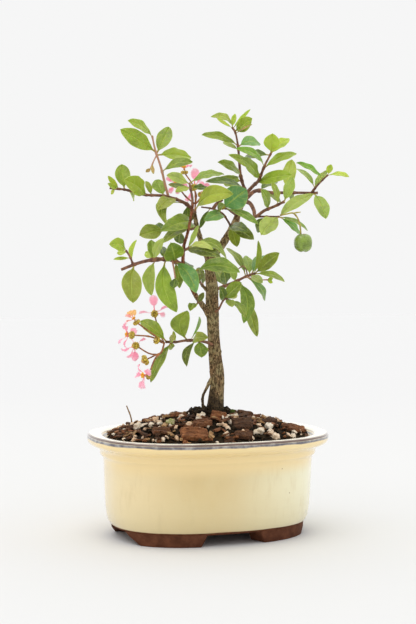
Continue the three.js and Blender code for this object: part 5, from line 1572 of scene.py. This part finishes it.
def layPetal(pattern, name, scale, axis, way, draw):
    # The flat petal gets its cup and ruffles, then its roll and its way from the flower's axis
    petal = copyOf(pattern, name)
    along = facing(way)
    across = axis.cross(along).normalized()
    turn = Matrix((along, across, along.cross(across))).transposed() @ turned("X", way[3])
    phase, waves, claw = draw.uniform(0, 6.28), draw.uniform(2.6, 3.8), petalShape["claw"]
    curl = draw.uniform(-0.5, 1.3)

    def bend(co):
        share, across = co.y, co.x
        reach = min(1, abs(across) / petalHalfWidth(share))
        limb = max(0, (share - claw) / (1 - claw))
        cup = 1.1 * math.sin(math.pi * min(limb, 1)) ** 0.8
        lift = 0.3 + 0.6 * min(share / claw, 1) + cup - curl * limb ** 3
        wave = math.sin(waves * 6.28 * share + phase * (1 + across))
        ruffle = petalShape["ruffle"] * reach ** 2 * limb * wave
        endRuffle = 0.35 * limb ** 6 * math.sin(across * 3.2 + phase)
        fringe = 1 + petalShape["fringe"] * reach ** 8 * math.sin(62 * share + phase) * min(1, 3 * limb)
        tooth = 0.16 * limb ** 12 * math.sin(across * 9 + phase)
        length = (share * petalShape["length"] + tooth) * scale
        height = lift + ruffle + endRuffle + 0.35 * reach ** 2 * limb
        return axis * petalShape["rise"] + turn @ Vector((length, across * fringe * scale, height))

    moveVertices(petal, bend)
    return petal


def petalLook():
    material, tree, shader, place = newMaterial("petal")
    own = ownMap(tree, "petalMap")
    parts = partsOf(tree, own)
    side = maths(tree, "ABSOLUTE", maths(tree, "SUBTRACT", parts[0], 0.5))
    tone = ownValue(tree, "tone")
    fade = ownValue(tree, "fade")
    color = blend(tree, tone, flowerColors["limb"], flowerColors["deep"])
    cloud = mottled(tree, place, scale=500, detail=3, low=0.35, high=0.65)
    rim = maths(tree, "MAXIMUM", remap(tree, side, 0.24, 0.5), remap(tree, parts[1], 0.7, 1.0))
    paler = maths(tree, "MULTIPLY", maths(tree, "MULTIPLY_ADD", cloud, 0.5, 0.4), rim)
    color = blend(tree, paler, color, flowerColors["edge"])
    slant = maths(tree, "DIVIDE", parts[0], maths(tree, "ADD", parts[1], 0.4))
    fan = maths(tree, "SINE", maths(tree, "MULTIPLY", slant, 78.0))
    color = tint(tree, remap(tree, fan, 0.4, 1.0), 0.16, color, flowerColors["claw"])
    color = tint(tree, remap(tree, parts[1], 0.5, 0.3), 0.7, color, flowerColors["claw"])
    color = blend(tree, fade, color, flowerColors["faded"])
    skin = noiseAt(tree, place, 2400, 2)
    # Its faint own light stands for the light that spreads inside a thin petal
    setShader(tree, shader, color=color, roughness=remap(tree, skin, 0.3, 0.7, 0.5, 0.66), lit=color,
              litStrength=0.16,
              normal=bump(tree, maths(tree, "MULTIPLY_ADD", fan, 0.4, skin), 0.0002, 0.5))
    lit = blend(tree, maths(tree, "MULTIPLY_ADD", skin, 0.2, 0.4), color, flowerColors["through"])
    through = addNode(tree, "ShaderNodeBsdfTranslucent", {"Color": lit}).outputs[0]
    both = addNode(tree, "ShaderNodeMixShader", {0: 0.45, 1: shader.outputs[0], 2: through}).outputs[0]
    tree.links.new(both, tree.nodes["Material Output"].inputs["Surface"])
    return material


def twoTone(name, light, dark, scale, rough, coat=0.0, depth=0.0004):
    # A plain natural skin in two mottled colours, with fine relief
    material, tree, shader, place = newMaterial(name)
    cloud = mottled(tree, place, scale=scale, detail=4, low=0.32, high=0.68)
    fine = noiseAt(tree, place, 3 * scale, 3)
    setShader(tree, shader, color=blend(tree, cloud, dark, light),
              roughness=remap(tree, fine, 0.3, 0.7, *rough),
              coat=coat, normal=bump(tree, fine, depth, 0.6))
    return material


def roundPiece(name, size, place=(0, 0, 0), segments=14, rings=9):
    bpy.ops.mesh.primitive_uv_sphere_add(segments=segments, ring_count=rings, radius=1, location=(0, 0, 0))
    ball = named(name)
    editMode(ball, "SELECT")
    bpy.ops.transform.resize(value=size)
    bpy.ops.transform.translate(value=place)
    objectMode()
    return ball


def modelCalyx(glandSkin):
    # Ten oil glands in five pairs round the seat of the petals, and the tips of the sepals over them
    glands = []
    for i in range(calyxShape["glands"]):
        gland = roundPiece(f"gland{i}", calyxShape["gland"])
        angle = 360 * (i // 2) / 5 + (17 if i % 2 else -17)
        place = turned("Z", angle) @ Vector((calyxShape["ring"], 0, 0))
        tilt = turned("Z", angle) @ turned("Y", 24)
        moveVertices(gland, lambda co: tilt @ co + place)
        glands.append(gland)
    glands.append(roundPiece("seat", (1.05, 1.05, 1.25)))
    for i in range(5):
        sepal = roundPiece(f"sepal{i}", (0.24, 0.5, 0.95), (0.95, 0, 1.0), 10, 7)
        lean = turned("Z", 72 * i) @ turned("Y", 10)
        moveVertices(sepal, lambda co: lean @ co)
        glands.append(sepal)
    calyx = joinPieces(glands, "calyxPattern")
    dress(calyx, [glandSkin])
    return calyx


def modelStamens(filamentSkin, antherSkin):
    stamens, anthers = [], []
    for i in range(stamenShape["count"]):
        tilt = stamenShape["lean"] * (1 if i % 2 else 0.6)
        lean = turned("Z", 360 * i / stamenShape["count"]) @ turned("Y", tilt)
        bpy.ops.mesh.primitive_cylinder_add(vertices=7, radius=0.13, depth=stamenShape["length"])
        filament = bpy.context.active_object
        moveVertices(filament, lambda co: lean @ (co + Vector((0.25, 0, stamenShape["length"] / 2))))
        stamens.append(filament)
        anther = roundPiece("anther", stamenShape["anther"], (0.25, 0, stamenShape["length"]), 10, 7)
        moveVertices(anther, lambda co: lean @ co)
        anthers.append(anther)
    stamens.append(roundPiece("receptacle", (1.0, 1.0, 0.8), (0, 0, 0.2)))
    stems = joinPieces(stamens, "filaments")
    dress(stems, [filamentSkin])
    tips = joinPieces(anthers, "anthers")
    dress(tips, [antherSkin])
    return joinPieces([stems, tips], "stamenPattern")


def facing(axis):
    # A direction seen from the front: to the right, up, and towards the eye
    return Vector((axis[0], -axis[2], axis[1])).normalized()


def aimedAt(axis, spin=0):
    up = Vector((0, 0, 1))
    return up.rotation_difference(axis) @ Quaternion(up, math.radians(spin))


def pedicelLook():
    return twoTone("pedicel", flowerColors["pedicelLight"], flowerColors["pedicelDark"], 420, (0.5, 0.68))


def makeUmbel(name, umbel, calyxPattern, skin, budSkin):
    stems, calyces = [], []
    axes = {bloom["centre"]: facing(bloom["axis"]) for bloom in umbel["blooms"]}
    for i, path in enumerate(umbel["stems"]):
        stems.append(stemPiece(f"{name}Pedicel{i}", path, [0.56, 0.46], 8, 0.7, (0.45,), 0.35))
        points = curvePoints(path)
        axis = axes.get(path[-1], (points[-1] - points[-4]).normalized())
        turn = aimedAt(axis, 40 * i)
        calyx = copyOf(calyxPattern, f"{name}Calyx{i}")
        size = umbel["calyxSizes"].get(i, 1)
        if path[-1] not in axes:
            bud = roundPiece(f"{name}Bud{i}", (1.05, 1.05, 1.15), (0, 0, 1.1))
            dress(bud, [budSkin])
            calyx = joinPieces([calyx, bud], calyx.name)
        moveVertices(calyx, lambda co: turn @ co * size + points[-1])
        calyces.append(calyx)
    pedicels = joinPieces(stems, f"{name}Pedicels")
    dress(pedicels, [skin])
    piece = joinPieces([pedicels] + calyces, f"umbel{name.title()}")
    seatPiece(piece, toFrame, 60, "flower_stem", f"umbel_{name}")


def makeBloom(name, bloom, petalPattern, stamenPattern, skin, draw):
    axis = facing(bloom["axis"])
    turn = aimedAt(axis)
    seat = placed(bloom["centre"]) + axis * (calyxShape["radius"] + calyxShape["seat"])
    petals = []
    for i, way in enumerate(bloom["petals"]):
        scale = bloom["size"] * (petalShape["flagScale"] if i == 0 else 1)
        petal = layPetal(petalPattern, f"{name}Petal{i}", scale, axis, way, draw)
        setAttribute(petal, "tone", min(1, max(0, bloom["tone"] + draw.uniform(-0.25, 0.25))))
        setAttribute(petal, "fade", bloom.get("fade", 0) if i in (0, 1) else 0.3 * bloom.get("fade", 0))
        petals.append(petal)
    corolla = joinPieces(petals, f"{name}Corolla")
    dress(corolla, [skin])
    applied(corolla, "SOLIDIFY", thickness=petalShape["thickness"], offset=0)
    stamens = copyOf(stamenPattern, f"{name}Stamens")
    moveVertices(stamens, lambda co: turn @ (co * bloom["size"]))
    flower = joinPieces([corolla, stamens], name)
    moveVertices(flower, lambda co: toFrame @ (co + seat))
    smooth(flower, 60)
    return flower


def makeFlowers():
    filamentSkin = twoTone("filament", flowerColors["filament"], flowerColors["filamentDark"], 600,
                           (0.5, 0.6))
    antherSkin = twoTone("anther", flowerColors["anther"], flowerColors["antherDark"], 1500, (0.55, 0.75))
    glandSkin = twoTone("calyxGland", flowerColors["glandLight"], flowerColors["glandDark"], 700, (0.3, 0.45),
                        0.3)
    budSkin = twoTone("flowerBud", flowerColors["bud"], flowerColors["budDark"], 900, (0.5, 0.6))
    calyxPattern, petalPattern = modelCalyx(glandSkin), modelPetalPattern()
    stamenPattern = modelStamens(filamentSkin, antherSkin)
    stemSkin, petalSkin = pedicelLook(), petalLook()
    draw = random.Random(11)
    for name, umbel in umbels.items():
        makeUmbel(name, umbel, calyxPattern, stemSkin, budSkin)
        for i, bloom in enumerate(umbel["blooms"]):
            flower = makeBloom(f"bloom{name.title()}{i + 1}", bloom, petalPattern, stamenPattern, petalSkin,
                               draw)
            finishPiece(flower, "petal", f"bloom_{name}_{i + 1}")
    for pattern in (calyxPattern, petalPattern, stamenPattern):
        removePiece(pattern)
    print("tree: umbels and blooms")


makeFlowers()


# Cherry: one unripe fruit with three faint lobes on its stalk
cherryShape = {
    "place": (61.6, 194.7, -16), "radius": 6, "lobe": 0.05, "stalkRadii": [0.5, 0.5, 0.6],
    "profile": [(0, 5), (2.4, 5.6), (5, 4), (6, 0.6), (5.2, -3.6), (2.4, -5.6), (0, -5.2)],
    "stalk": [(46.6, 213, -15.2), (51, 213.9, -17), (55, 214.5, -17.5), (57.7, 211.9, -17.3),
              (59.6, 207, -17),
              (60.6, 198, -16)],
    "stub": [(54.4, 214.4, -17.4), (60, 215.2, -19)],
}
cherryColors = palette(
    skinDark=(92, 112, 24), skinLight=(138, 164, 58), dot=(196, 210, 120), stemLight=(196, 186, 84),
    stemDark=(150, 130, 60), glandLight=(226, 206, 140), glandDark=(150, 112, 60),
)


def cherryPoint(co):
    # Where a point of a unit ball lies on the fruit: round its profile by its height, then lobed
    profile = cherryShape["profile"]
    place = math.acos(min(1, max(-1, co.z))) / math.pi * (len(profile) - 1)
    low = min(int(place), len(profile) - 2)
    part = place - low
    ends = [profile[max(low - 1, 0)], profile[low], profile[low + 1], profile[min(low + 2, len(profile) - 1)]]
    if low == 0:
        ends[0] = (-profile[1][0], profile[1][1])
    if low == len(profile) - 2:
        ends[3] = (-profile[-2][0], profile[-2][1])
    out = []
    for a, b, c, d in zip(*ends):
        out.append(0.5 * (2 * b + (c - a) * part + (2 * a - 5 * b + 4 * c - d) * part ** 2
                          + (3 * b - a - 3 * c + d) * part ** 3))
    angle = math.atan2(co.y, co.x)
    scale = 1 + cherryShape["lobe"] * math.cos(3 * angle)
    return Vector((out[0] * math.cos(angle), out[0] * math.sin(angle), out[1])) * scale


def cherryLook():
    material, tree, shader, place = newMaterial("cherrySkin")
    cloud = mottled(tree, place, scale=130, detail=3, low=0.34, high=0.66)
    color = blend(tree, cloud, cherryColors["skinDark"], cherryColors["skinLight"])
    dots = flecked(tree, place, scale=1100, size=0.22, share=0.3)
    color = tint(tree, dots, 0.3, color, cherryColors["dot"])
    fine = noiseAt(tree, place, 1500, 2)
    setShader(tree, shader, color=color, roughness=remap(tree, fine, 0.3, 0.7, 0.2, 0.3), coat=0.4,
              normal=bump(tree, fine, 0.0001, 0.3), glow=0.25, glowScale=0.002, glowRadius=(0.6, 1.0, 0.3))
    return material


def makeCherry():
    bpy.ops.mesh.primitive_uv_sphere_add(segments=48, ring_count=30, radius=1, location=(0, 0, 0))
    fruit = bpy.context.active_object
    middle = placed(cherryShape["place"])
    moveVertices(fruit, lambda co: cherryPoint(co) + middle)
    dress(fruit, [cherryLook()])
    stalk = stemPiece("cherryStalk", cherryShape["stalk"], cherryShape["stalkRadii"], 8, 0.7, (0.02, 0.42),
                      0.3)
    stub = stemPiece("stalkStub", cherryShape["stub"], [0.42, 0.34], 8, 0.7, (0.6,), 0.3)
    green = joinPieces([stalk, stub], "cherryStems")
    dress(green, [twoTone("cherryStem", cherryColors["stemLight"], cherryColors["stemDark"], 500,
                          (0.5, 0.65))])
    sepals = []
    for i in range(5):
        sepal = roundPiece(f"dryGland{i}", (0.9, 0.5, 0.3), (1.2, 0, 0), 10, 7)
        lean = turned("Z", 72 * i) @ turned("Y", -14)
        moveVertices(sepal, lambda co: lean @ co + middle + Vector((0, 0, 5.35)))
        sepals.append(sepal)
    crown = joinPieces(sepals, "cherryCrown")
    dress(crown, [twoTone("dryGland", cherryColors["glandLight"], cherryColors["glandDark"], 900,
                          (0.5, 0.65))])
    piece = joinPieces([fruit, green, crown], "greenCherry")
    seatPiece(piece, toFrame, 60, "green_cherry", "cherry")
    print("tree: cherry")


makeCherry()


# Moss tuft: a cushion with fine upright shoots
mossShape = {"shoots": 210, "shootLength": (1.8, 4.4), "shootRadius": 0.22, "spread": 30}
mossColors = palette(
    shootLight=(136, 156, 60), shootDark=(66, 80, 32), cushionLight=(62, 66, 32), cushionDark=(30, 30, 18),
)


def makeMoss():
    low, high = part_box("moss_tuft")
    middle = (Vector(low) + Vector(high)) / 2 / mm
    reach = (Vector(high) - Vector(low)) / 2 / mm
    cushion = roundPiece("mossCushion", (0.86 * reach.x, 0.86 * reach.y, 0.62 * reach.z), segments=28,
                         rings=18)
    moveVertices(cushion, lambda co: co * (1 + 0.16 * wander(co, 0.7, 4)))
    draw = random.Random(8)
    shoots = []
    for i in range(mossShape["shoots"]):
        angle, out = draw.uniform(0, 6.28), draw.random() ** 0.6
        root = Vector((0.8 * reach.x * out * math.cos(angle), 0.8 * reach.y * out * math.sin(angle), 0))
        root.z = 0.5 * reach.z * math.sqrt(max(0, 1 - out ** 2))
        length = min(draw.uniform(*mossShape["shootLength"]), 0.96 * reach.z - root.z)
        if length < 0.8:
            continue
        bpy.ops.mesh.primitive_cone_add(vertices=5, radius1=mossShape["shootRadius"], radius2=0.03,
                                        depth=length)
        shoot = bpy.context.active_object
        lean = turned("Z", math.degrees(angle)) @ turned("Y", draw.uniform(0, mossShape["spread"]) * out)
        moveVertices(shoot, lambda co: root + lean @ (co + Vector((0, 0, length / 2))))
        shoots.append(shoot)
    blades = joinPieces(shoots, "mossShoots")
    dress(blades, [twoTone("mossShoot", mossColors["shootLight"], mossColors["shootDark"], 500, (0.75, 0.9))])
    dress(cushion, [twoTone("mossCushion", mossColors["cushionLight"], mossColors["cushionDark"], 700,
                            (0.85, 0.95))])
    piece = joinPieces([cushion, blades], "mossTuft")
    seatPiece(piece, Matrix.Scale(mm, 4) @ Matrix.Translation(middle), 50, "moss", "moss_tuft")


strawShape = {"path": [(-51, 68, 5), (-52, 77, 5), (-55, 85, 4)], "radii": [0.55, 0.4], "joints": (0.3, 0.72)}
strawColors = palette(
    dark=(112, 82, 50), light=(186, 150, 104),
)


def makeStraw():
    straw = stemPiece("strawStalk", strawShape["path"], strawShape["radii"], 10, 0.5, strawShape["joints"],
                      0.25)
    material, tree, shader, place = newMaterial("dryStraw")
    streaks = mottled(tree, stretched(tree, place, (1, 1, 0.15)), scale=1800, detail=3, low=0.3, high=0.7)
    setShader(tree, shader, color=blend(tree, streaks, strawColors["dark"], strawColors["light"]),
              roughness=remap(tree, streaks, 0, 1, 0.6, 0.8), normal=bump(tree, streaks, 0.0002, 0.6))
    seatPiece(straw, toFrame, 50, "dry_straw", "straw", looks=[material])
    print("mound: moss tuft and straw")


makeMoss()
makeStraw()


# Stage: pale floor, soft light and the camera at the photograph's angle
stageLook = {
    "floorSize": 6.0, "floorNear": 0.738, "floorFar": 0.717, "backdrop": 0.922, "fillFront": 0.84,
    "fillBack": 1.16,
    "sunStrength": 0.8, "sunAngle": 50, "sunTilt": (20, -12),
}
cameraPlace = {
    "focalPixels": 1399.6, "imageHeight": 624, "sensor": 36.0, "pitch": 0.042, "roll": 0.0078,
}


def floorPaint():
    material, tree, shader, place = newMaterial("palePaper")
    cloud = mottled(tree, place, scale=3, detail=2, low=0.3, high=0.7)
    away = addNode(tree, "ShaderNodeVectorMath", {0: place}, operation="LENGTH").outputs["Value"]
    near, far = (stageLook[key] for key in ("floorNear", "floorFar"))
    # Near the pot the floor is a little lighter, which keeps it evenly bright, and faintly cream: painted
    # light, the cream glow the glaze throws on the floor
    color = blend(tree, remap(tree, away, 0.15, 1.1), (near, near, 0.99 * near, 1), (far, far, far, 1))
    setShader(tree, shader, color=color, roughness=remap(tree, cloud, 0, 1, 0.9, 0.95), specular=0.1)
    return material


def makeFloor():
    bpy.ops.mesh.primitive_plane_add(size=stageLook["floorSize"], location=(0, 0, 0))
    floor = named("floor")
    dress(floor, [floorPaint()])


def makeLight():
    world = bpy.data.worlds.new("softStudio")
    world.use_nodes = True
    bpy.context.scene.world = world
    tree = world.node_tree
    tree.nodes.clear()
    seen = addNode(tree, "ShaderNodeLightPath").outputs["Is Camera Ray"]
    level = stageLook["backdrop"]
    backdrop = addNode(tree, "ShaderNodeBackground", {"Color": (level, level, level, 1), "Strength": 1.0})
    way = addNode(tree, "ShaderNodeTexCoord").outputs["Generated"]
    facingFront = reachAlong(tree, way, frontWay)
    strength = remap(tree, facingFront, -0.5, 1, stageLook["fillBack"], stageLook["fillFront"])
    fill = addNode(tree, "ShaderNodeBackground", {"Color": (1, 1, 1, 1), "Strength": strength})
    mixed = addNode(tree, "ShaderNodeMixShader", {0: seen, 1: fill.outputs[0], 2: backdrop.outputs[0]})
    addNode(tree, "ShaderNodeOutputWorld", {"Surface": mixed.outputs[0]})
    sun = bpy.data.lights.new("softSun", "SUN")
    sun.energy = stageLook["sunStrength"]
    sun.angle = math.radians(stageLook["sunAngle"])
    lamp = bpy.data.objects.new("softSun", sun)
    bpy.context.scene.collection.objects.link(lamp)
    tiltX, tiltY = (math.radians(angle) for angle in stageLook["sunTilt"])
    lamp.matrix_world = treeTurn @ Matrix.Rotation(tiltX, 4, "X") @ Matrix.Rotation(tiltY, 4, "Y")


def makeCamera():
    lens = bpy.data.cameras.new("camera")
    lens.sensor_width = cameraPlace["sensor"]
    lens.lens = cameraPlace["focalPixels"] * cameraPlace["sensor"] / cameraPlace["imageHeight"]
    lens.clip_end = 20
    camera = bpy.data.objects.new("camera", lens)
    bpy.context.scene.collection.objects.link(camera)
    tip = Matrix.Rotation(math.pi / 2 - cameraPlace["pitch"], 4, "X")
    roll = Matrix.Rotation(cameraPlace["roll"], 4, "Z")
    place = Matrix.Translation(toFrame @ layout["eye"])
    camera.matrix_world = place @ treeTurn @ tip @ roll
    bpy.context.scene.camera = camera
    bpy.context.scene.view_settings.view_transform = "Standard"


makeFloor()
makeLight()
makeCamera()
print("stage: floor, light and camera")
